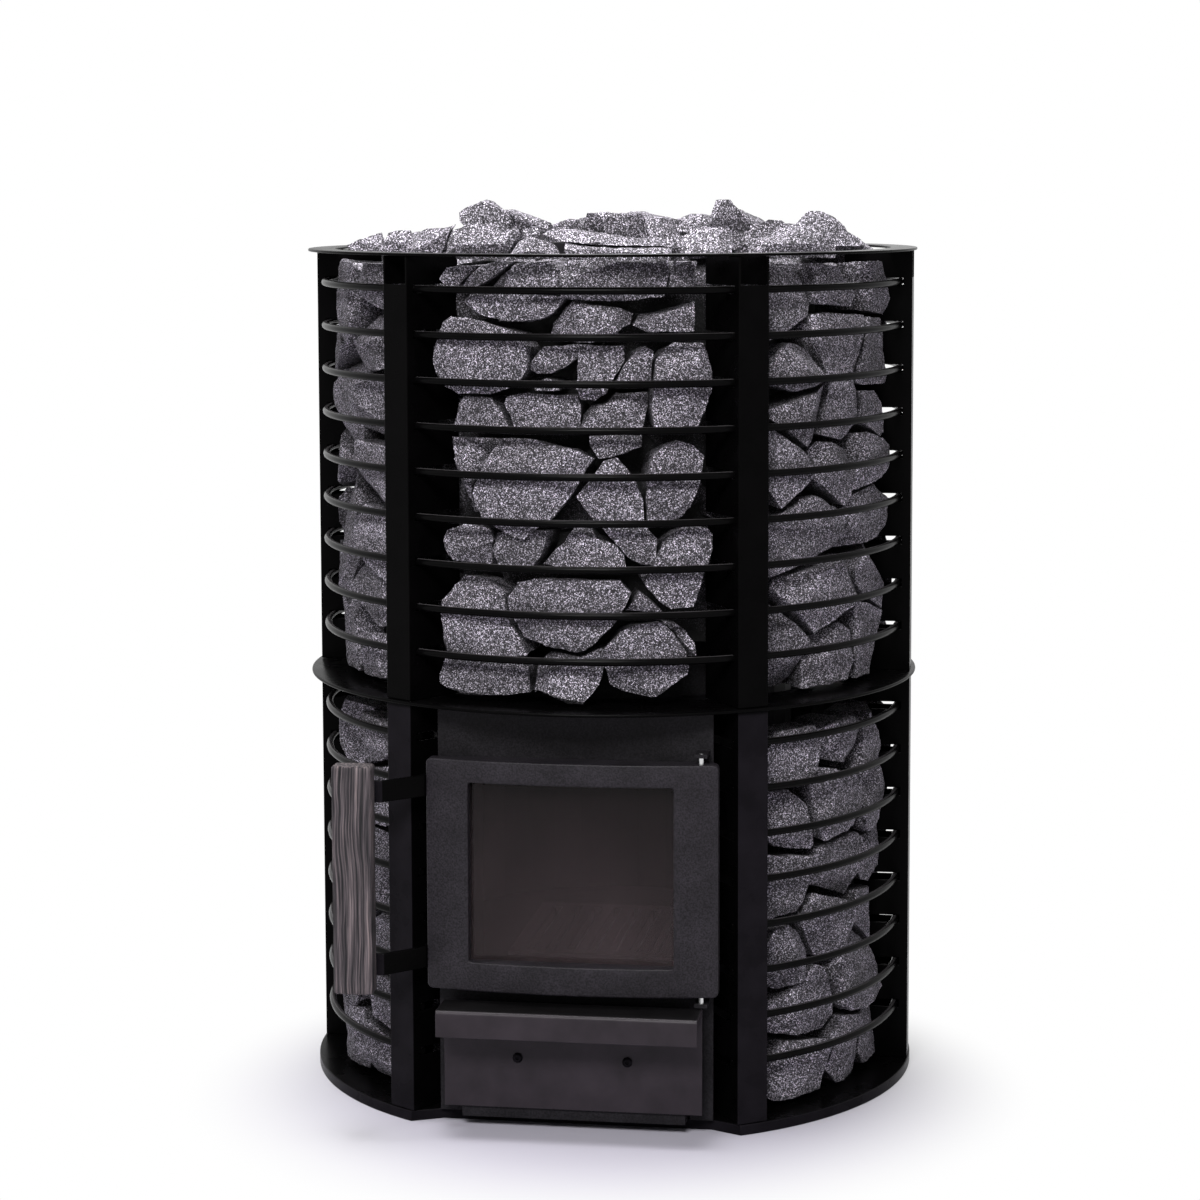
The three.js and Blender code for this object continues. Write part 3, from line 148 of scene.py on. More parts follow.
# Crown stones that the photo shows: how near to the camera, how far the face leans back and to the right in
# degrees, and the outline clockwise in millimetres, right of the axis and up from the top ring
CROWN_FACES = (
    (0.080, 30, -12, ((-156, 32), (-145, 39), (-126, 48), (-115, 45), (-105, 35),
     (-86, 22), (-103, 13), (-143, 13), (-154, 23))),
    (0.100, -15, 10, ((-107, 35), (-88, 29), (-59, 22), (-61, 13), (-95, 13))),
    (0.180, 36, 5, ((-167, 2), (-162, 16), (-141, 24), (-117, 22), (-95, 17),
     (-87, 11), (-95, 5), (-103, -12), (-165, -12))),
    (0.150, -28, -38, ((-201, 8), (-197, 18), (-182, 21), (-165, 20),
     (-153, 22), (-157, 11), (-163, -8), (-199, -8))),
    (0.100, 38, -20, ((-229, 5), (-226, 15), (-212, 19), (-197, 18), (-195, 8), (-197, -8), (-226, -8))),
    (0.030, 40, -10, ((-269, 2), (-254, 8), (-226, 16), (-222, 5), (-223, -6), (-267, -3))),
    (0.130, 45, 10, ((-92, 18), (-74, 22), (-70, 17), (-68, 8), (-90, 8))),
    (0.190, 35, 15, ((-107, -12), (-95, 5), (-86, 12), (-70, 8), (-53, 1), (-46, -12))),
    (0.100, 15, -10, ((-61, 21), (-44, 28), (-31, 26), (-24, 11), (-58, 11))),
    (0.120, 2, 10, ((-34, 19), (-28, 32), (-10, 33), (-3, 33), (21, 32),
     (35, 32), (39, 23), (42, 5), (-28, 5))),
    (0.185, 60, 0, ((-80, 12), (-70, 18), (-44, 17), (-16, 14), (7, 10), (21, 8),
     (49, 6), (65, 4), (64, -1), (21, 0), (-24, 1), (-52, 5))),
    (0.188, 0, 0, ((-53, 5), (-24, 1), (7, 1), (21, 0), (64, -1), (62, -16), (-48, -16))),
    (0.110, 30, 10, ((39, 22), (49, 26), (58, 23), (58, 8), (40, 8))),
    (0.160, 45, 0, ((47, 10), (65, 15), (73, 11), (73, -8), (49, -8))),
    (0.190, 40, 12, ((65, -3), (68, 11), (80, 19), (100, 20), (121, 19), (124, 9), (119, -12), (67, -12))),
    (0.120, 25, -15, ((60, 19), (77, 29), (92, 32), (101, 23), (96, 11), (63, 9))),
    (0.100, -5, 25, ((92, 23), (101, 44), (116, 45), (126, 36), (143, 23), (140, 11), (96, 11))),
    (0.140, 40, -10, ((123, -3), (128, 14), (142, 23), (156, 28),
     (171, 26), (179, 18), (171, -8), (125, -8))),
    (0.170, 38, 15, ((130, 3), (152, 11), (164, 19), (183, 22), (207, 19),
     (224, 11), (227, 1), (225, -12), (132, -12))),
    (0.080, 25, 22, ((175, 18), (190, 35), (203, 35), (223, 29), (233, 19),
     (236, 14), (252, 5), (251, -6), (179, -6))),
)

# Crown stones at the back: azimuth, distance from the axis, top above the top ring, then width, depth and
# height, and how steeply the top falls away to the left, the right and the front, in degrees
CROWN_STONES = (
    (104, 0.212, 0.022, (0.095, 0.088, 0.070), (20, 30, 22)),
    (108, 0.120, 0.036, (0.095, 0.080, 0.080), (18, 25, 20)),
    (130, 0.208, 0.020, (0.105, 0.090, 0.070), (26, 15, 24)),
    (163, 0.202, 0.030, (0.105, 0.090, 0.076), (22, 18, 26)),
    (178, 0.122, 0.033, (0.095, 0.080, 0.078), (20, 12, 28)),
    (193, 0.208, 0.028, (0.115, 0.090, 0.074), (14, 24, 20)),
    (-130, 0.208, 0.020, (0.105, 0.090, 0.070), (15, 20, 18)),
    (-105, 0.118, 0.036, (0.100, 0.080, 0.080), (24, 18, 30)),
    (-100, 0.208, 0.014, (0.095, 0.090, 0.066), (18, 12, 20)),
)

# The photo's view
VIEW_AZIMUTH, VIEW_DISTANCE, VIEW_HEIGHT = 8.52, 2.983, 0.881


# Material helpers

def new_material(name):
    """A node material, its node tree and its Principled shader."""
    material = bpy.data.materials.new(name)
    material.use_nodes = True
    tree = material.node_tree
    return material, tree, tree.nodes["Principled BSDF"]


def add_node(tree, kind, inputs=None, **settings):
    """A node with its settings; inputs are values, or sockets to link from."""
    node = tree.nodes.new(kind)
    for name, value in settings.items():
        setattr(node, name, value)
    for name, value in (inputs or {}).items():
        if isinstance(value, bpy.types.NodeSocket):
            tree.links.new(value, node.inputs[name])
        else:
            node.inputs[name].default_value = value
    return node


def coordinates(tree, scale=(1, 1, 1)):
    """Object coordinates, stretched by scale."""
    source = add_node(tree, "ShaderNodeTexCoord").outputs["Object"]
    return add_node(tree, "ShaderNodeMapping", {"Vector": source, "Scale": scale}).outputs["Vector"]


def noise(tree, vector, scale, detail=2.0, rough=0.5):
    settings = {"Vector": vector, "Scale": scale, "Detail": detail, "Roughness": rough}
    return add_node(tree, "ShaderNodeTexNoise", settings).outputs["Fac"]


def ramp(tree, factor, *stops):
    """A colour ramp through (position, grey or colour) stops."""
    node = add_node(tree, "ShaderNodeValToRGB", {"Fac": factor})
    elements = node.color_ramp.elements
    while len(elements) < len(stops):
        elements.new(0.5)
    for element, (position, colour) in zip(elements, stops):
        element.position = position
        element.color = (colour, colour, colour, 1) if isinstance(colour, float) else (*colour, 1)
    return node.outputs["Color"]


def spread(tree, factor, low, high):
    """Maps a 0 to 1 factor to the range from low to high."""
    settings = {"Value": factor, "To Min": low, "To Max": high}
    return add_node(tree, "ShaderNodeMapRange", settings).outputs["Result"]


def mix_colour(tree, factor, first, second, blend_type="MIX"):
    node = add_node(tree, "ShaderNodeMix", data_type="RGBA", blend_type=blend_type)
    for index, value in ((0, factor), (6, first), (7, second)):
        if isinstance(value, bpy.types.NodeSocket):
            tree.links.new(value, node.inputs[index])
        else:
            node.inputs[index].default_value = value if index == 0 else (*value, 1)
    return node.outputs[2]


def bump(tree, shader, height, strength, distance):
    settings = {"Height": height, "Strength": strength, "Distance": distance}
    node = add_node(tree, "ShaderNodeBump", settings)
    tree.links.new(node.outputs["Normal"], shader.inputs["Normal"])


# Materials

def outward(tree, factor):
    """Keeps a factor on faces that look away from the stove's axis."""
    geometry = add_node(tree, "ShaderNodeNewGeometry")
    settings = {0: geometry.outputs["Position"], 1: (1, 1, 0)}
    flat = add_node(tree, "ShaderNodeVectorMath", settings, operation="MULTIPLY").outputs["Vector"]
    radial = add_node(tree, "ShaderNodeVectorMath", {0: flat}, operation="NORMALIZE").outputs["Vector"]
    settings = {0: radial, 1: geometry.outputs["Normal"]}
    facing = add_node(tree, "ShaderNodeVectorMath", settings, operation="DOT_PRODUCT").outputs["Value"]
    settings = {"Value": facing, "From Min": 0.3, "From Max": 0.8, "To Max": factor}
    return add_node(tree, "ShaderNodeMapRange", settings).outputs["Result"]


def painted_steel(name, colour, rough, gloss, skin_scale, skin_depth, fleck=0.1, painted_floor_light=None, painted_top_shading=None):
    """Heat-proof paint: a faint mottle over a fine skin, with painted light from the floor on outward faces below the
    mid ring, or a painted highlight or painted shade on faces that look upwards.
    """
    material, tree, shader = new_material(name)
    vector = coordinates(tree)
    mottle = noise(tree, vector, 35, 4)
    skin = noise(tree, vector, skin_scale, 2)
    # Painted light: outward faces below the mid ring are made lighter, standing in for light from the floor.
    if painted_floor_light:
        place = add_node(tree, "ShaderNodeNewGeometry").outputs["Position"]
        height = add_node(tree, "ShaderNodeSeparateXYZ", {"Vector": place}).outputs["Z"]
        settings = {"Value": height, "From Min": MID_LOW[2], "From Max": MID_LOW[2] - 0.004}
        below = add_node(tree, "ShaderNodeMapRange", settings).outputs["Result"]
        colour = mix_colour(tree, outward(tree, below), colour, painted_floor_light)
    # Painted highlight or painted shade on faces that look upwards.
    if painted_top_shading:
        facing = add_node(tree, "ShaderNodeNewGeometry").outputs["Normal"]
        upward = add_node(tree, "ShaderNodeSeparateXYZ", {"Vector": facing}).outputs["Z"]
        settings = {"Value": upward, "From Min": 0.84, "From Max": 0.98}
        painted_top_mask = add_node(tree, "ShaderNodeMapRange", settings).outputs["Result"]
        colour = mix_colour(tree, painted_top_mask, colour, painted_top_shading)
    shade = mix_colour(tree, 1.0, colour, ramp(tree, mottle, (0.3, 0.75), (0.7, 1.25)), "MULTIPLY")
    grain = ramp(tree, skin, (0.35, 1 - fleck), (0.65, 1 + fleck))
    tree.links.new(mix_colour(tree, 1.0, shade, grain, "MULTIPLY"), shader.inputs["Base Color"])
    tree.links.new(spread(tree, mottle, rough - 0.06, rough + 0.06), shader.inputs["Roughness"])
    shader.inputs["Specular IOR Level"].default_value = gloss
    bump(tree, shader, skin, 0.35, skin_depth)
    return material


def bright_steel():
    material, tree, shader = new_material("bright_steel")
    vector = coordinates(tree, (60, 60, 2400))
    turned = noise(tree, vector, 1, 2)
    shader.inputs["Base Color"].default_value = (0.62, 0.62, 0.63, 1)
    shader.inputs["Metallic"].default_value = 1
    tree.links.new(spread(tree, turned, 0.22, 0.38), shader.inputs["Roughness"])
    bump(tree, shader, turned, 0.15, 0.0002)
    return material


def stove_glass():
    """Clear ceramic glass with a brown haze of soot and ash that thickens downwards."""
    material, tree, shader = new_material("door_glass")
    place = add_node(tree, "ShaderNodeTexCoord").outputs["Object"]
    height = add_node(tree, "ShaderNodeSeparateXYZ", {"Vector": place}).outputs["Z"]
    settings = {"Value": height, "From Min": GLASS_HIGH[2], "From Max": GLASS_LOW[2]}
    depth = add_node(tree, "ShaderNodeMapRange", settings).outputs["Result"]
    cloud = noise(tree, coordinates(tree, (14, 14, 6)), 1, 3)
    haze = add_node(tree, "ShaderNodeMath", {0: depth, 1: cloud}, operation="MULTIPLY").outputs["Value"]
    shader.inputs["Base Color"].default_value = (0.40, 0.31, 0.33, 1)
    tree.links.new(spread(tree, haze, 0.995, 0.895), shader.inputs["Transmission Weight"])
    shader.inputs["IOR"].default_value = 1.2
    tree.links.new(spread(tree, cloud, 0.0, 0.03), shader.inputs["Roughness"])
    return material


def seal_rope():
    material, tree, shader = new_material("seal_rope")
    vector = coordinates(tree)
    plait = add_node(tree, "ShaderNodeTexVoronoi", {"Vector": vector, "Scale": 420}).outputs["Distance"]
    colour = ramp(tree, plait, (0.0, (0.13, 0.125, 0.12)), (0.8, (0.05, 0.048, 0.046)))
    tree.links.new(colour, shader.inputs["Base Color"])
    shader.inputs["Roughness"].default_value = 0.95
    bump(tree, shader, plait, 0.8, 0.001)
    return material


def handle_wood():
    """Dark heat-treated wood with an open upright grain."""
    material, tree, shader = new_material("handle_wood")
    sway = noise(tree, coordinates(tree, (14, 14, 9)), 1, 2)
    place = add_node(tree, "ShaderNodeTexCoord").outputs["Object"]
    swayed = add_node(tree, "ShaderNodeVectorMath", {0: place, 1: (0, 0, 0)}, operation="ADD")
    offset = add_node(tree, "ShaderNodeCombineXYZ", {"X": spread(tree, sway, -0.007, 0.007)})
    tree.links.new(offset.outputs["Vector"], swayed.inputs[1])
    grain_space = add_node(
        tree, "ShaderNodeMapping", {"Vector": swayed.outputs["Vector"], "Scale": (430, 430, 8)}
    )
    grain = noise(tree, grain_space.outputs["Vector"], 1, 5, 0.62)
    fibre_space = add_node(
        tree, "ShaderNodeMapping", {"Vector": swayed.outputs["Vector"], "Scale": (1500, 1500, 40)}
    )
    fibre = noise(tree, fibre_space.outputs["Vector"], 1, 2)
    tone = ramp(
        tree, grain,
        (0.36, (0.005, 0.0045, 0.006)), (0.46, (0.042, 0.036, 0.040)),
        (0.58, (0.130, 0.108, 0.113)), (0.70, (0.28, 0.225, 0.220)),
    )
    shade = ramp(tree, fibre, (0.3, 0.55), (0.7, 1.3))
    tree.links.new(mix_colour(tree, 1.0, tone, shade, "MULTIPLY"), shader.inputs["Base Color"])
    shader.inputs["Roughness"].default_value = 0.72
    shader.inputs["Specular IOR Level"].default_value = 0.3
    bump(tree, shader, grain, 0.9, 0.0025)
    return material


def painted_depth_shade(tree):
    """0 on the face of the heap, 1 on stones deep inside it, below the crown: a mask for painted shade."""
    place = add_node(tree, "ShaderNodeTexCoord").outputs["Object"]
    flat = add_node(tree, "ShaderNodeVectorMath", {0: place, 1: (1, 1, 0)}, operation="MULTIPLY")
    radius = add_node(tree, "ShaderNodeVectorMath", {0: flat.outputs["Vector"]}, operation="LENGTH")
    height = add_node(tree, "ShaderNodeSeparateXYZ", {"Vector": place}).outputs["Z"]
    settings = {"Value": radius.outputs["Value"], "From Min": STONE_FACE - 0.03, "From Max": STONE_FACE - 0.06}
    depth = add_node(tree, "ShaderNodeMapRange", settings).outputs["Result"]
    settings = {"Value": height, "From Min": TOP_LOW[2] - 0.01, "From Max": TOP_LOW[2] - 0.045}
    below = add_node(tree, "ShaderNodeMapRange", settings).outputs["Result"]
    return add_node(tree, "ShaderNodeMath", {0: depth, 1: below}, operation="MULTIPLY").outputs["Value"]


def stone():
    """Split grey stone: salt-and-pepper grain, a tone of its own for each stone, painted highlights on convex edges,
    and painted shade in crevices and deep inside the heap.
    """
    material, tree, shader = new_material("stone")
    vector = coordinates(tree)
    geometry = add_node(tree, "ShaderNodeNewGeometry")
    grains = add_node(tree, "ShaderNodeTexVoronoi", {"Vector": vector, "Scale": 1300}).outputs["Color"]
    grain = add_node(tree, "ShaderNodeSeparateColor", {"Color": grains}).outputs["Red"]
    flecks = noise(tree, vector, 420, 3, 0.7)
    speckle = ramp(tree, grain, (0.0, 0.012), (0.5, 0.045), (0.75, 0.15), (0.92, 0.66), (1.0, 0.95))
    blotch = ramp(tree, flecks, (0.35, 0.65), (0.65, 1.3))
    colour = mix_colour(tree, 1.0, speckle, blotch, "MULTIPLY")
    cloud = ramp(tree, noise(tree, vector, 28, 3), (0.3, 0.8), (0.7, 1.2))
    colour = mix_colour(tree, 1.0, colour, cloud, "MULTIPLY")
    own = ramp(tree, geometry.outputs["Random Per Island"], (0.0, 0.76), (0.5, 1.0), (1.0, 1.14))
    colour = mix_colour(tree, 1.0, colour, own, "MULTIPLY")
    # Painted highlight: convex edges are made paler.
    edge = ramp(tree, geometry.outputs["Pointiness"], (0.5, 1.0), (0.6, 1.7))
    colour = mix_colour(tree, 1.0, colour, edge, "MULTIPLY")
    # Painted shade in the crevices between stones, from an occlusion factor.
    painted_crevice_shade = add_node(tree, "ShaderNodeAmbientOcclusion", {"Distance": 0.026}, samples=6).outputs["AO"]
    colour = mix_colour(tree, 1.0, colour, ramp(tree, painted_crevice_shade, (0.3, 0.18), (0.76, 1.0)), "MULTIPLY")
    # Painted shade: stones deep inside the heap, below the crown, darken to near black.
    colour = mix_colour(tree, painted_depth_shade(tree), colour, (0.002, 0.002, 0.002))
    tint = mix_colour(tree, 1.0, colour, (1.02, 0.95, 1.09), "MULTIPLY")
    tree.links.new(tint, shader.inputs["Base Color"])
    shader.inputs["Roughness"].default_value = 0.8
    shader.inputs["Specular IOR Level"].default_value = 0.35
    rough = noise(tree, vector, 260, 5, 0.65)
    bump(tree, shader, rough, 0.8, 0.0025)
    return material


MATERIALS = {
    # Painted light from the floor on the outward faces below the mid ring.
    "black_steel": painted_steel(
        "black_steel", (0.0012, 0.0011, 0.0012), 0.28, 0.024, 1800, 0.00008, painted_floor_light=(0.0085, 0.0074, 0.0094),
    ),
    # Painted highlight along the tops of the rods.
    "rod_steel": painted_steel(
        "rod_steel", (0.0016, 0.0015, 0.0016), 0.22, 0.035, 1800, 0.00008, painted_top_shading=(0.05, 0.047, 0.049),
    ),
    "firebox_steel": painted_steel("firebox_steel", (0.0115, 0.0105, 0.0122), 0.5, 0.1, 700, 0.0003, fleck=0.4),
    "cast_iron": painted_steel("cast_iron", (0.0165, 0.0145, 0.0178), 0.42, 0.15, 620, 0.001, fleck=0.45),
    # Painted shade on the top of the drawer's ledge, standing in for the dark reflection of the door's underside.
    "drawer_steel": painted_steel("drawer_steel", (0.0245, 0.0195, 0.024), 0.4, 0.16, 1800, 0.0001, painted_top_shading=(0.003, 0.0027, 0.003)),
    "bright_steel": bright_steel(),
    "door_glass": stove_glass(),
    "seal_rope": seal_rope(),
    "handle_wood": handle_wood(),
    "stone": stone(),
}


# Pieces

def piece(name, slot, body, nodes, points, faces, sharp=40, material=None):
    """A mesh piece that replaces CAD nodes and rides on their body."""
    mesh = bpy.data.meshes.new(name)
    mesh.from_pydata(points, [], faces)
    mesh.validate()
    mesh.polygons.foreach_set("use_smooth", [True] * len(mesh.polygons))
    mesh.set_sharp_from_angle(angle=math.radians(sharp))
    mesh.materials.append(MATERIALS[material or slot])
    obj = bpy.data.objects.new(name, mesh)
    bpy.context.scene.collection.objects.link(obj)
    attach(obj, body)
    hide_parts(*nodes)
    return obj


def round_edges(obj, width, segments=2, angle=30):
    """Rounds every sharp edge of a piece or of a CAD node."""
    weld = obj.modifiers.new("weld", "WELD")
    weld.merge_threshold = 0.00002
    flat = obj.modifiers.new("flat faces", "DECIMATE")
    flat.decimate_type = "DISSOLVE"
    flat.angle_limit = math.radians(1)
    bevel = obj.modifiers.new("rounded edges", "BEVEL")
    bevel.width = width
    bevel.segments = segments
    bevel.limit_method = "ANGLE"
    bevel.angle_limit = math.radians(angle)


def at(azimuth, radius, height):
    turn = math.radians(azimuth)
    return np.array((radius * math.sin(turn), -radius * math.cos(turn), height))


def revolve(profile, start=0, end=360):
    """Points and faces of a closed (radius, height) profile turned about the stove's axis."""
    whole = end - start == 360
    steps = ROUND_STEPS if whole else round(ROUND_STEPS * (end - start) / 360)
    stations = steps if whole else steps + 1
    count = len(profile)
    points = []
    for station in range(stations):
        azimuth = start + (end - start) * station / steps
        points += [tuple(at(azimuth, radius, height)) for radius, height in profile]
    faces = []
    for station in range(steps):
        here = station * count
        there = (station + 1) % stations * count
        for index in range(count):
            after = (index + 1) % count
            faces.append((here + index, there + index, there + after, here + after))
    if not whole:
        faces.append(tuple(range(count - 1, -1, -1))[::-1])
        faces.append(tuple(range(steps * count, steps * count + count))[::-1])
    return points, faces


def rounded_profile(inner, outer, low, high, corner, steps=3):
    """A rectangle of radius and height with rounded corners, anticlockwise."""
    middles = (
        (outer - corner, low + corner, -90), (outer - corner, high - corner, 0),
        (inner + corner, high - corner, 90), (inner + corner, low + corner, 180),
    )
    profile = []
    for radius, height, turn in middles:
        for step in range(steps + 1):
            angle = math.radians(turn + 90 * step / steps)
            profile.append((radius + corner * math.cos(angle), height + corner * math.sin(angle)))
    return profile


def rod_profile(height, sides=12):
    turns = [2 * math.pi * side / sides for side in range(sides)]
    return [(HOOP_RADIUS + ROD_RADIUS * math.cos(t), height + ROD_RADIUS * math.sin(t)) for t in turns]


# Rings, base plate, hoops and flue

def build_rings():
    rings = (
        ("mid_ring", "black_steel", MID_HIGH[0] - MID_RING_WIDTH, MID_LOW, MID_HIGH, 0.0014),
        ("top_ring", "black_steel", TOP_HIGH[0] - TOP_RING_WIDTH, TOP_LOW, TOP_HIGH, 0.0009),
        ("flue_collar", "firebox_steel", FLUE_HIGH[0] - 0.0025, FLUE_LOW, FLUE_HIGH, 0.0006),
    )
    for node, slot, inner, low, high, corner in rings:
        profile = rounded_profile(inner, high[0], low[2], high[2], corner)
        points, faces = revolve(profile)
        piece(node + "_smooth", slot, "stove", [node], points, faces)


def build_hoops():
    for index in range(1, 10):
        low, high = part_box(f"upper_hoop_{index}")
        points, faces = revolve(rod_profile((low[2] + high[2]) / 2))
        node = f"upper_hoop_{index}"
        piece(f"upper_rod_{index}", "black_steel", "stove", [node], points, faces, material="rod_steel")
    for index in range(1, 9):
        low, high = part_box(f"lower_hoop_{index}")
        profile = rod_profile((low[2] + high[2]) / 2)
        points, faces = revolve(profile, LOWER_HOOP_OPENING, 360 - LOWER_HOOP_OPENING)
        node = f"lower_hoop_{index}"
        piece(f"lower_rod_{index}", "black_steel", "stove", [node], points, faces, material="rod_steel")


def build_base():
    """The round plate with its notch in front of the ash drawer."""
    radius = BASE_HIGH[0]
    corner = 0.156
    inner = 0.127
    first = math.degrees(math.asin(corner / radius))
    steps = 160
    outline = [at(first + (360 - 2 * first) * step / steps, radius, 0)[:2] for step in range(steps + 1)]
    outline += [np.array((-inner, -0.24)), np.array((inner, -0.24))]
    count = len(outline)
    points = [(x, y, BASE_LOW[2]) for x, y in outline] + [(x, y, BASE_HIGH[2]) for x, y in outline]
    faces = [tuple(range(count))[::-1], tuple(range(count, 2 * count))]
    for index in range(count):
        after = (index + 1) % count
        faces.append((index, after, count + after, count + index))
    plate = piece("base_plate_smooth", "black_steel", "stove", ["base_plate"], points, faces)
    round_edges(plate, 0.0009)


# Stones

def unit(vector):
    return vector / np.linalg.norm(vector)


def prism(front, back):
    """A closed mesh between two outlines of as many points."""
    mesh = bmesh.new()
    near = [mesh.verts.new(point) for point in front]
    far = [mesh.verts.new(point) for point in back]
    mesh.faces.new(near)
    mesh.faces.new(far[::-1])
    for index in range(len(near)):
        after = (index + 1) % len(near)
        mesh.faces.new((near[after], near[index], far[index], far[after]))
    return mesh


def cut_away(mesh, normal, place):
    """Breaks off what lies beyond a plane and closes the break."""
    parts = mesh.verts[:] + mesh.edges[:] + mesh.faces[:]
    bmesh.ops.bisect_plane(mesh, geom=parts, dist=1e-6, plane_co=place, plane_no=normal, clear_outer=True)
    bmesh.ops.holes_fill(mesh, edges=[edge for edge in mesh.edges if edge.is_boundary])


def refine(mesh, step):
    """Splits the faces into triangles with edges no longer than about step."""
    bmesh.ops.remove_doubles(mesh, verts=mesh.verts[:], dist=0.0001)
    bmesh.ops.dissolve_degenerate(mesh, edges=mesh.edges[:], dist=0.0001)
    bmesh.ops.triangulate(mesh, faces=mesh.faces[:])
    for _ in range(7):
        long = [edge for edge in mesh.edges if edge.calc_length() > step]
        if not long:
            break
        bmesh.ops.subdivide_edges(mesh, edges=long, cuts=1)
        bmesh.ops.triangulate(mesh, faces=mesh.faces[:])


class Heap:
    """Stones collected into one mesh, each a closed body of its own."""

    def __init__(self):
        self.points = []
        self.faces = []
        self.count = 0

    def add(self, stone, step):
        """Takes in a stone, split to its step and kept inside the cage."""
        refine(stone, step)
        bmesh.ops.recalc_face_normals(stone, faces=stone.faces[:])
        stone.verts.index_update()
        points = np.array([vertex.co for vertex in stone.verts])
        girth = np.linalg.norm(points[:, :2], axis=1)
        points[:, :2] *= np.minimum(1, STONE_FACE / girth)[:, None]
        points[:, 2] = np.minimum(points[:, 2], cad_bounds[1][2] - STONE_SKIN)
        faces = np.array([[vertex.index for vertex in face.verts] for face in stone.faces])
        stone.free()
        self.points.append(points)
        self.faces.append(faces + self.count)
        self.count += len(points)

    def finish(self, name, nodes):
        points = np.concatenate(self.points)
        faces = np.concatenate(self.faces)
        obj = piece(name, "stone", "stove", nodes, points.tolist(), faces.tolist(), sharp=24)
        for size, depth in ((0.026, 0.0036), (0.007, 0.002)):
            texture = bpy.data.textures.new(f"{name}_{size}", "CLOUDS")
            texture.noise_scale = size
            texture.noise_depth = 1
            displace = obj.modifiers.new("rough skin", "DISPLACE")
            displace.texture = texture
            displace.strength = depth
            displace.mid_level = 0.55
        return obj


def nearer_part(polygon, site, other):
    """The part of a polygon that lies nearer to one site than to another."""
    def side(point):
        own = (point[0] - site[0]) ** 2 + (STONE_FLATNESS * (point[1] - site[1])) ** 2
        far = (point[0] - other[0]) ** 2 + (STONE_FLATNESS * (point[1] - other[1])) ** 2
        return far - own
    kept = []
    for point, after in zip(polygon, polygon[1:] + polygon[:1]):
        here, there = side(point), side(after)
        if here >= 0:
            kept.append(point)
        if here * there < 0:
            share = here / (here - there)
            kept.append(tuple(a + share * (b - a) for a, b in zip(point, after)))
    return kept


def wall_cells(sites, bay):
    """Splits a bay of the wall into one outline for each site."""
    cells = []
    for site in sites:
        cell = bay
        for other in sites:
            if other != site:
                cell = nearer_part(cell, site, other)
        if len(cell) > 2:
            cells.append(cell)
    return cells


def course_sites(left, right, bottom, top, rows, random):
    """Sites in staggered courses, each moved a little from its regular place."""
    sites = []
    for row in range(rows):
        count = 2 + (row + int(random.integers(0, 2))) % 2
        for index in range(count):
            along = (index + 0.5 + random.uniform(-0.27, 0.27)) / count
            up = (row + 0.5 + random.uniform(-0.36, 0.36)) / rows
            sites.append((left + along * (right - left), bottom + up * (top - bottom)))
    return sites


def break_corners(cell, gap, random):
    """The outline of a stone in its cell: drawn in by a gap, with some corners broken off."""
    cell = np.array(cell)
    outline = []
    for index, corner in enumerate(cell):
        before, after = cell[index - 1], cell[(index + 1) % len(cell)]
        share = random.uniform(0.08, 0.42)
        if random.uniform() < 0.6:
            outline += [corner + share * (before - corner), corner + share * (after - corner)]
        else:
            outline.append(corner)
    return drawn_in(outline, gap)


def drawn_in(outline, gap):
    """An outline with each point moved towards the middle by a gap."""
    middle = np.mean(outline, axis=0)
    spokes = np.array(outline) - middle
    return middle + spokes * np.maximum(0.4, 1 - gap / np.linalg.norm(spokes, axis=1))[:, None]


def split_stone(heap, rim, azimuth, lean, depth, random, step, steepest, taper=0.86):
    """A stone that fills its rim of points, anticlockwise as seen from an azimuth, with a leaning split face."""
    out = at(azimuth, 1, 0)
    along = at(azimuth + 90, 1, 0)
    up = np.array((0.0, 0.0, 1.0))
    middle = np.mean(rim, axis=0)
    front = [middle + out * depth + (2 - taper) * (point - middle) for point in rim]
    back = [middle - out * depth + taper * (point - middle) for point in rim]
    stone = prism(front, back)
    away = unit(middle * (1, 1, 0))
    cut_away(stone, -away, away * (FLUE_HIGH[0] + FLUE_GAP))
    tilt = random.normal(0, 0.06, 2) + lean
    face = unit(out + along * tilt[0] + up * tilt[1])
    cut_away(stone, face, middle)
    for _ in range(3):
        way = random.uniform(0, 2 * math.pi)
        lean = along * math.cos(way) + up * math.sin(way)
        slope = math.tan(math.radians(random.uniform(9, steepest)))
        reach = max(lean @ (corner - middle) for corner in rim)
        cut_away(stone, unit(face + slope * lean), middle + lean * reach * random.uniform(0.1, 0.7))
    for index, corner in enumerate(rim):
        after = rim[(index + 1) % len(rim)]
        side = unit(np.cross(after - corner, out))
        lean = math.radians(random.uniform(25, 60))
        edge = unit(side * math.cos(lean) + face * math.sin(lean))
        cut_away(stone, edge, (corner + after) / 2 - side * random.uniform(0, 0.0012))
    heap.add(stone, step)


def wall_stone(heap, outline, setback, depth, random, step, steepest=34):
    """A stone of the wall from its outline of (arc, height) points, anticlockwise from outside."""
    outline = np.array(outline)
    arc, height = outline.mean(axis=0)
    azimuth = math.degrees(arc / STONE_FACE)
    middle = at(azimuth, STONE_FACE - setback, height)
    rim = [middle + at(azimuth + 90, a, z) for a, z in outline - (arc, height)]
    split_stone(heap, rim, azimuth, (0, 0), depth, random, step, steepest)


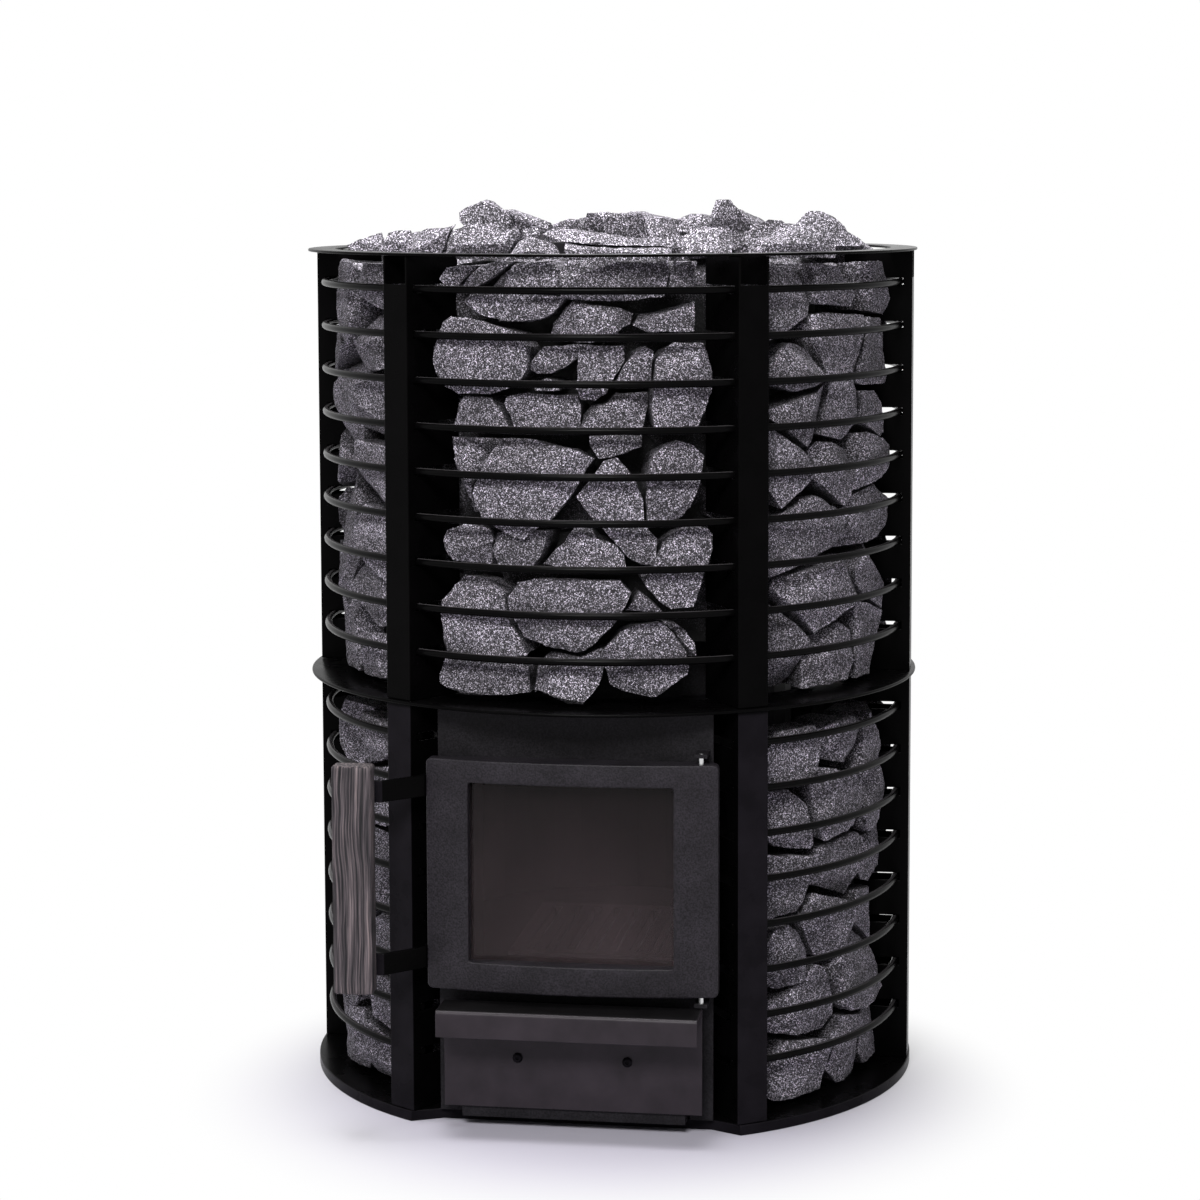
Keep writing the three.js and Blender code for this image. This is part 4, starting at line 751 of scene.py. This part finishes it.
def crown_rim(near, outline):
    """Points of an outline read in the photo, moved from the axis towards the camera along the line of sight."""
    camera = at(VIEW_AZIMUTH, VIEW_DISTANCE, VIEW_HEIGHT)
    rim = [at(VIEW_AZIMUTH + 90, across / 1000, TOP_HIGH[2] + CROWN_RISE * up / 1000) for across, up in outline[::-1]]
    return [camera + (point - camera) * (1 - near / VIEW_DISTANCE) for point in rim]


def stone_wall(heap, bay_span, bottom, top, seed):
    """The stones of one bay between two posts."""
    random = np.random.default_rng(seed)
    left, right = [math.radians(azimuth) * STONE_FACE for azimuth in bay_span]
    bay = [(left, bottom), (right, bottom), (right, top), (left, top)]
    rows = round((top - bottom) / 0.056)
    for cell in wall_cells(course_sites(left, right, bottom, top, rows, random), bay):
        outline = break_corners(cell, random.uniform(0.002, 0.006), random)
        setback = random.uniform(0, 0.012)
        wall_stone(heap, outline, setback, random.uniform(0.045, 0.06), random, PLAIN, steepest=42)


def front_wall(heap):
    """The stones of the upper front bay; small ones lie deeper than large ones."""
    random = np.random.default_rng(7)
    large = 0.0062
    for outline in FRONT_STONES:
        outline = [(arc / 1000, MID_HIGH[2] + height / 1000) for arc, height in outline[::-1]]
        outline = drawn_in(outline, 0.0006)
        width, tall = np.ptp(outline, axis=0)
        setback = 0.003 + 0.011 * max(0, 1 - width * tall / large)
        wall_stone(heap, outline, setback, 0.045, random, FINE)


def backing(heap, bay_span, bottom, top, seed):
    """Larger rubble behind a wall, so that no light falls through it."""
    random = np.random.default_rng(seed)
    left, right = [math.radians(azimuth) * STONE_FACE for azimuth in bay_span]
    bay = [(left, bottom), (right, bottom), (right, top), (left, top)]
    rows = round((top - bottom) / 0.09)
    for cell in wall_cells(course_sites(left, right, bottom, top, rows, random), bay):
        wall_stone(heap, cell, 0.058, 0.055, random, ROUGH, steepest=20)


def heaped_stone(heap, azimuth, radius, rise, size, slopes, seed, step):
    """A loose stone: a block inside its size, broken all round, whose top falls away from a ridge."""
    random = np.random.default_rng(seed)
    half = np.array(size) / 2
    axes = np.array((at(azimuth + 90, 1, 0), at(azimuth + 180, 1, 0), (0, 0, 1)))
    middle = at(azimuth, radius, TOP_HIGH[2] + rise - half[2])
    corners = ((-1, -1), (1, -1), (1, 1), (-1, 1))
    top = [middle + (half * (x, y, 1)) @ axes for x, y in corners]
    bottom = [middle + (half * (x, y, -1)) @ axes for x, y in corners]
    stone = prism(top, bottom)
    breaks = 11
    start = random.uniform(0, 2 * math.pi)
    for index in range(2, breaks):
        level = 1 - (2 * index + 1) / breaks
        turn = index * math.pi * (3 - math.sqrt(5)) + start
        flat = math.sqrt(1 - level * level)
        way = unit(np.array((flat * math.cos(turn), flat * math.sin(turn), level)) + random.normal(0, 0.2, 3))
        reach = np.linalg.norm(way * half) * random.uniform(0.86, 1.12)
        cut_away(stone, way @ axes, middle + way @ axes * reach)
    ridge = middle + axes[2] * half[2]
    for slope, lean in zip(slopes, ((-1, 0, 0), (1, 0, 0), (0, -1, 0))):
        tilt = math.radians(slope)
        lean = np.array(lean)
        normal = math.cos(tilt) * axes[2] + math.sin(tilt) * lean
        cut_away(stone, normal, ridge + lean * half[0] * 0.12)
    heap.add(stone, step)


def fill_stones(heap, start, end, seed):
    """Stones around the flue, under the crown."""
    random = np.random.default_rng(seed)
    step = 24
    for azimuth in range(math.ceil(start / step) * step, math.floor(end), step):
        for radius in (0.108, 0.172):
            size = random.uniform(0.85, 1.0, 3) * (0.072, 0.072, 0.085)
            drop = random.uniform(0.004, 0.02)
            turn = azimuth + (step / 2 if radius > 0.15 else 0)
            slopes = random.uniform(5, 30, 3)
            heaped_stone(heap, turn, radius, -drop, size, slopes, int(random.integers(1000)), PLAIN)


def build_upper_stones():
    bottom = MID_HIGH[2] + 0.003
    top = TOP_LOW[2] - 0.006
    front, side, rear = POST_AZIMUTHS
    bays = {
        "front": ((-front, front),),
        "right": ((front, side), (side, rear)),
        "rear": ((rear, 360 - rear),),
        "left": ((-rear, -side), (-side, -front)),
    }
    for order, (place, walls) in enumerate(bays.items()):
        heap = Heap()
        for index, (start, end) in enumerate(walls):
            span = (start + BAY_MARGIN, end - BAY_MARGIN)
            if place == "front":
                front_wall(heap)
            else:
                stone_wall(heap, span, bottom, top, 10 * order + index)
            backing(heap, (start, end), ROOF_HIGH[2], top - 0.01, 100 + 10 * order + index)
        fill_stones(heap, walls[0][0], walls[-1][1], 300 + order)
        for index, (near, back, right, outline) in enumerate(CROWN_FACES):
            rim = crown_rim(near, drawn_in(outline, CROWN_GAP))
            x, y, _ = np.mean(rim, axis=0)
            if walls[0][0] <= math.degrees(math.atan2(x, -y)) < walls[-1][1]:
                lean = np.tan(np.radians((right, back)))
                random = np.random.default_rng(400 + index)
                depth = min(0.08, 0.02 + 0.6 * np.ptp(outline, axis=0)[0] / 1000)
                split_stone(heap, rim, VIEW_AZIMUTH, lean, depth, random, PLAIN, 30, taper=0.6)
        for index, (azimuth, radius, rise, size, slopes) in enumerate(CROWN_STONES):
            if walls[0][0] <= azimuth < walls[-1][1]:
                heaped_stone(heap, azimuth, radius, rise, size, slopes, 200 + index, PLAIN)
        heap.finish(f"upper_stone_heap_{place}", [f"upper_stones_{place}"])


def build_lower_stones():
    bottom = BASE_HIGH[2] + 0.003
    top = MID_LOW[2] - LOWER_STONE_HEADROOM
    front, side, rear = POST_AZIMUTHS
    beds = {
        "right": ((front, side), (side, rear)),
        "rear": ((rear, 360 - rear),),
        "left": ((-rear, -side), (-side, -front)),
    }
    for order, (place, walls) in enumerate(beds.items()):
        heap = Heap()
        for index, (start, end) in enumerate(walls):
            span = (start + BAY_MARGIN, end - BAY_MARGIN)
            stone_wall(heap, span, bottom, top, 50 + 10 * order + index)
        heap.finish(f"lower_stone_heap_{place}", [f"lower_stones_{place}"])


# Door, handle and small parts

def door_loop(half, low, high, corner, steps=6, across=24, upright=8):
    """Front-view outline of (x, z) points of a rounded rectangle, anticlockwise from the lower left."""
    middles = (
        (-half + corner, low + corner, 180, across), (half - corner, low + corner, 270, upright),
        (half - corner, high - corner, 0, across), (-half + corner, high - corner, 90, upright),
    )
    loop = []
    for x, z, turn, spans in middles:
        arc = []
        for step in range(steps + 1):
            angle = math.radians(turn + 90 * step / steps)
            arc.append((x + corner * math.cos(angle), z + corner * math.sin(angle)))
        loop.append((arc, spans))
    points = []
    for index, (arc, spans) in enumerate(loop):
        points += arc
        end = arc[-1]
        begin = loop[(index + 1) % 4][0][0]
        for span in range(1, spans):
            share = span / spans
            points.append((end[0] + share * (begin[0] - end[0]), end[1] + share * (begin[1] - end[1])))
    return points


def build_door_frame():
    """A cast frame: bowed in front, flat behind, with rounded edges and a pocket for the glass."""
    half = DOOR_HIGH[0]
    low, high = DOOR_LOW[2], DOOR_HIGH[2]
    back = DOOR_HIGH[1]
    middle = DOOR_LOW[1]
    bow = 0.013
    radius = (half ** 2 + bow ** 2) / (2 * bow)
    window = (GLASS_HIGH[0] - 0.0077, GLASS_LOW[2] + 0.0077, GLASS_HIGH[2] - 0.0077)
    pocket_front = GLASS_LOW[1] - 0.0003

    def surface(x):
        return middle + radius - math.sqrt(radius ** 2 - x ** 2)

    def outer(inset):
        return door_loop(half - inset, low + inset, high - inset, max(0.005 - inset, 0.001))

    def inner(inset):
        return door_loop(window[0] + inset, window[1] - inset, window[2] + inset, 0.003 + max(inset, 0))

    edge = 0.0016
    rim = 0.0011
    rings = [(outer(0.0), back, None), (outer(0.0), None, edge)]
    for step in range(1, 5):
        turn = math.radians(90 * step / 4)
        rings.append((outer(edge * (1 - math.cos(turn))), None, edge * (1 - math.sin(turn))))
    rings.append((inner(0.006), None, 0.0))
    rings.append((inner(rim), None, 0.0))
    for step in range(1, 4):
        turn = math.radians(90 * step / 3)
        rings.append((inner(rim * (1 - math.sin(turn))), None, rim * (1 - math.cos(turn))))
    rings.append((inner(0.0), pocket_front, None))
    rings.append((inner(0.008), pocket_front, None))
    rings.append((inner(0.008), back, None))
    points = []
    for loop, fixed, depth in rings:
        for x, z in loop:
            points.append((x, fixed if fixed is not None else surface(x) + depth, z))
    count = len(rings[0][0])
    faces = []
    for ring in range(len(rings)):
        here, there = ring * count, (ring + 1) % len(rings) * count
        for index in range(count):
            after = (index + 1) % count
            faces.append((here + index, here + after, there + after, there + index))
    piece("door_casting", "cast_iron", "door", ["door_frame"], points, faces, sharp=50)


def build_pins():
    for place in ("lower", "upper"):
        node = f"hinge_pin_{place}"
        low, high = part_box(node)
        x, y = (low[0] + high[0]) / 2, (low[1] + high[1]) / 2
        radius = (high[0] - low[0]) / 2
        chamfer = 0.0006
        levels = (
            (low[2], radius - chamfer), (low[2] + chamfer, radius),
            (high[2] - chamfer, radius), (high[2], radius - chamfer),
        )
        sides = 32
        points = []
        for level, girth in levels:
            for side in range(sides):
                turn = 2 * math.pi * side / sides
                points.append((x + girth * math.cos(turn), y + girth * math.sin(turn), level))
        faces = [tuple(range(sides))[::-1], tuple(range(3 * sides, 4 * sides))]
        for level in range(3):
            for side in range(sides):
                after = (side + 1) % sides
                here, there = level * sides, (level + 1) * sides
                faces.append((here + side, here + after, there + after, there + side))
        piece(f"hinge_rod_{place}", "bright_steel", "door", [node], points, faces)


def build_grip():
    """An upright wooden grip with rounded edges and ends drawn in a little."""
    corner = 0.0035
    x0, x1 = GRIP_LOW[0], GRIP_HIGH[0]
    y0, y1 = GRIP_LOW[1], GRIP_HIGH[1]
    section = []
    middles = (
        (x0 + corner, y0 + corner, 180, 12), (x1 - corner, y0 + corner, 270, 7),
        (x1 - corner, y1 - corner, 0, 12), (x0 + corner, y1 - corner, 90, 7),
    )
    for index, (x, y, turn, spans) in enumerate(middles):
        arc = []
        for step in range(5):
            angle = math.radians(turn + 90 * step / 4)
            arc.append((x + corner * math.cos(angle), y + corner * math.sin(angle)))
        section += arc
        begin_x, begin_y, begin_turn, _ = middles[(index + 1) % 4]
        begin = (
            begin_x + corner * math.cos(math.radians(begin_turn)),
            begin_y + corner * math.sin(math.radians(begin_turn)),
        )
        for span in range(1, spans):
            share = span / spans
            section.append(tuple(a + share * (b - a) for a, b in zip(arc[-1], begin)))
    ends = 0.0015
    levels = [(GRIP_LOW[2], 0.92), (GRIP_LOW[2] + ends, 1.0)]
    rows = 60
    span = GRIP_HIGH[2] - GRIP_LOW[2] - 2 * ends
    levels += [(GRIP_LOW[2] + ends + span * row / rows, 1.0) for row in range(1, rows + 1)]
    levels.append((GRIP_HIGH[2], 0.92))
    centre = ((x0 + x1) / 2, (y0 + y1) / 2)
    points = []
    for level, share in levels:
        points += [(centre[0] + share * (x - centre[0]), centre[1] + share * (y - centre[1]), level) for x, y in section]
    count = len(section)
    faces = [tuple(range(count))[::-1], tuple(range(len(points) - count, len(points)))]
    for level in range(len(levels) - 1):
        here, there = level * count, (level + 1) * count
        for index in range(count):
            after = (index + 1) % count
            faces.append((here + index, here + after, there + after, there + index))
    piece("wooden_grip", "handle_wood", "door", ["handle_grip"], points, faces, sharp=60)


def build_drawer_front():
    """A folded sheet: the drawer's face, a ledge turned forward and a lip turned down from it."""
    low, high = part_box("ash_drawer_front")
    sheet = 0.0025
    lip_height = 0.025
    bend = 0.004
    face = high[1] - sheet
    path = [(face, low[2]), (face, high[2]), (low[1], high[2]), (low[1], high[2] - lip_height)]
    outside = [path[0], *fillet(path[0], path[1], path[2], bend - sheet), *fillet(path[1], path[2], path[3], bend)]
    outside.append(path[3])
    corner = (face + sheet, high[2])
    under = high[2] - sheet
    inside = [(low[1] + sheet, path[3][1])]
    inside += fillet(inside[0], (low[1] + sheet, under), (face, under), bend - sheet)
    section = [(face, low[2]), *fillet((face, low[2]), (face, under), (low[1], under), bend - sheet)]
    section += inside[:0:-1]
    section += [inside[0], path[3]]
    section += fillet(path[3], path[2], path[1], bend)
    section += fillet(path[2], corner, (corner[0], low[2]), bend)
    section.append((corner[0], low[2]))
    half = high[0]
    spans = 24
    points = []
    for span in range(spans + 1):
        x = -half + 2 * half * span / spans
        points += [(x, y, z) for y, z in section]
    faces = loft_faces(len(section), spans + 1)
    front = piece("drawer_fold", "drawer_steel", "ash_drawer", ["ash_drawer_front"], points, faces)
    round_edges(front, 0.0004)


def fillet(before, corner, after, radius, steps=5):
    """Points of the arc that rounds a square corner of a (y, z) path."""
    before, corner, after = [np.array(point) for point in (before, corner, after)]
    start = unit(before - corner) * radius
    end = unit(after - corner) * radius
    middle = corner + start + end
    turns = [math.pi / 2 * step / steps for step in range(steps + 1)]
    return [tuple(middle - end * math.cos(turn) - start * math.sin(turn)) for turn in turns]


def loft_faces(count, rows):
    """Faces of a closed body through rows of as many points, with flat ends."""
    faces = [tuple(range(count))[::-1], tuple(range((rows - 1) * count, rows * count))]
    for row in range(rows - 1):
        here, there = row * count, (row + 1) * count
        for index in range(count):
            after = (index + 1) % count
            faces.append((here + index, here + after, there + after, there + index))
    return faces


def finish_cad_nodes():
    """Materials and rounded edges on the CAD nodes that stay."""
    slots = {part["node"]: part["material_slot"] for part in frame["record"]["subparts"]}
    rounding = {"firebox_shell": 0, "firebox_roof": 0, "door_glass": 0.0005, "fire_grate": 0.0012}
    for name, obj in frame["nodes"].items():
        for slot in obj.material_slots:
            slot.material = MATERIALS[slots[name]]
        width = rounding.get(name, 0.0006)
        if width and not obj.hide_render:
            round_edges(obj, width)


# Studio

def build_floor():
    """A pale floor that keeps the shadow near the stove and fades into the white background."""
    bpy.ops.mesh.primitive_circle_add(vertices=96, radius=9, fill_type="NGON")
    floor = bpy.context.object
    floor.name = "floor"
    material, tree, shader = new_material("floor")
    place = add_node(tree, "ShaderNodeTexCoord").outputs["Object"]
    shadow_middle = (0.01, -0.11, 0)
    settings = {0: place, 1: shadow_middle}
    distance = add_node(tree, "ShaderNodeVectorMath", settings, operation="DISTANCE").outputs["Value"]
    settings = {"Value": distance, "From Min": 0.2, "From Max": 0.42}
    fade = add_node(tree, "ShaderNodeMapRange", settings, interpolation_type="SMOOTHSTEP").outputs["Result"]
    rays = seen_rays(tree)
    shown = add_node(tree, "ShaderNodeMath", {0: fade, 1: rays}, operation="MULTIPLY").outputs["Value"]
    glow = add_node(tree, "ShaderNodeEmission", {"Color": (1, 1, 1, 1), "Strength": 1.0})
    blend = add_node(tree, "ShaderNodeMixShader", {"Fac": shown})
    shader.inputs["Base Color"].default_value = (0.5, 0.48, 0.55, 1)
    shader.inputs["Roughness"].default_value = 0.9
    shader.inputs["Specular IOR Level"].default_value = 0.1
    tree.links.new(shader.outputs["BSDF"], blend.inputs[1])
    tree.links.new(glow.outputs["Emission"], blend.inputs[2])
    tree.links.new(blend.outputs["Shader"], tree.nodes["Material Output"].inputs["Surface"])
    floor.data.materials.append(material)


def seen_rays(tree):
    """1 for rays that show the background: seen directly, mirrored or through glass."""
    path = add_node(tree, "ShaderNodeLightPath")
    mirrored = add_node(
        tree, "ShaderNodeMath",
        {0: path.outputs["Is Camera Ray"], 1: path.outputs["Is Glossy Ray"]}, operation="MAXIMUM",
    )
    through = add_node(
        tree, "ShaderNodeMath",
        {0: mirrored.outputs["Value"], 1: path.outputs["Is Transmission Ray"]}, operation="MAXIMUM",
    )
    return through.outputs["Value"]


def build_world():
    """White where the background shows, and a softer even light on the object."""
    world = bpy.data.worlds.new("studio")
    bpy.context.scene.world = world
    world.use_nodes = True
    tree = world.node_tree
    strength = spread(tree, seen_rays(tree), 0.12, 1.0)
    background = tree.nodes["Background"]
    background.inputs["Color"].default_value = (1, 1, 1, 1)
    tree.links.new(strength, background.inputs["Strength"])


def softbox(name, place, aim, size, power):
    light = bpy.data.lights.new(name, "AREA")
    light.shape = "RECTANGLE"
    light.size, light.size_y = size
    light.energy = power
    obj = bpy.data.objects.new(name, light)
    bpy.context.scene.collection.objects.link(obj)
    obj.location = place
    direction = np.array(aim) - np.array(place)
    flat = math.hypot(direction[0], direction[1])
    obj.rotation_euler = (math.atan2(flat, -direction[2]), 0, math.atan2(-direction[0], direction[1]))


def build_lights():
    softbox("overhead", (-0.2, -0.3, 2.6), (0, 0, 0.8), (0.8, 0.8), 64)
    softbox("left", (-2.6, -1.4, 1.6), (0, 0, 0.5), (0.6, 1.4), 1)
    softbox("right", (2.6, -1.0, 1.6), (0, 0, 0.5), (0.6, 1.4), 2)
    softbox("front", (-0.4, -3.2, 2.4), (0, 0, 0.5), (1.6, 1.0), 18)
    softbox("rear", (0.3, 3.0, 2.2), (0, 0, 0.5), (2.0, 1.4), 16)
    softbox("key", (0.0, -2.8, 2.25), (0, 0, 0.5), (1.2, 0.8), 80)


def build_camera():
    """The photograph's view: a long lens from a little right of the front, at the height of the top ring."""
    tilt, roll = 5.7, 0.14
    camera = bpy.data.cameras.new("camera")
    camera.sensor_width = 36
    camera.lens = 90.18
    camera.shift_x = -0.0105
    camera.shift_y = -0.1
    obj = bpy.data.objects.new("camera", camera)
    bpy.context.scene.collection.objects.link(obj)
    obj.location = at(VIEW_AZIMUTH, VIEW_DISTANCE, VIEW_HEIGHT)
    obj.rotation_euler = (math.radians(90 - tilt), math.radians(roll), math.radians(VIEW_AZIMUTH))
    bpy.context.scene.camera = obj


build_rings()
build_hoops()
build_base()
build_upper_stones()
build_lower_stones()
build_door_frame()
build_pins()
build_grip()
build_drawer_front()
finish_cad_nodes()
build_floor()
build_world()
build_lights()
build_camera()
bpy.context.scene.view_settings.view_transform = "Standard"
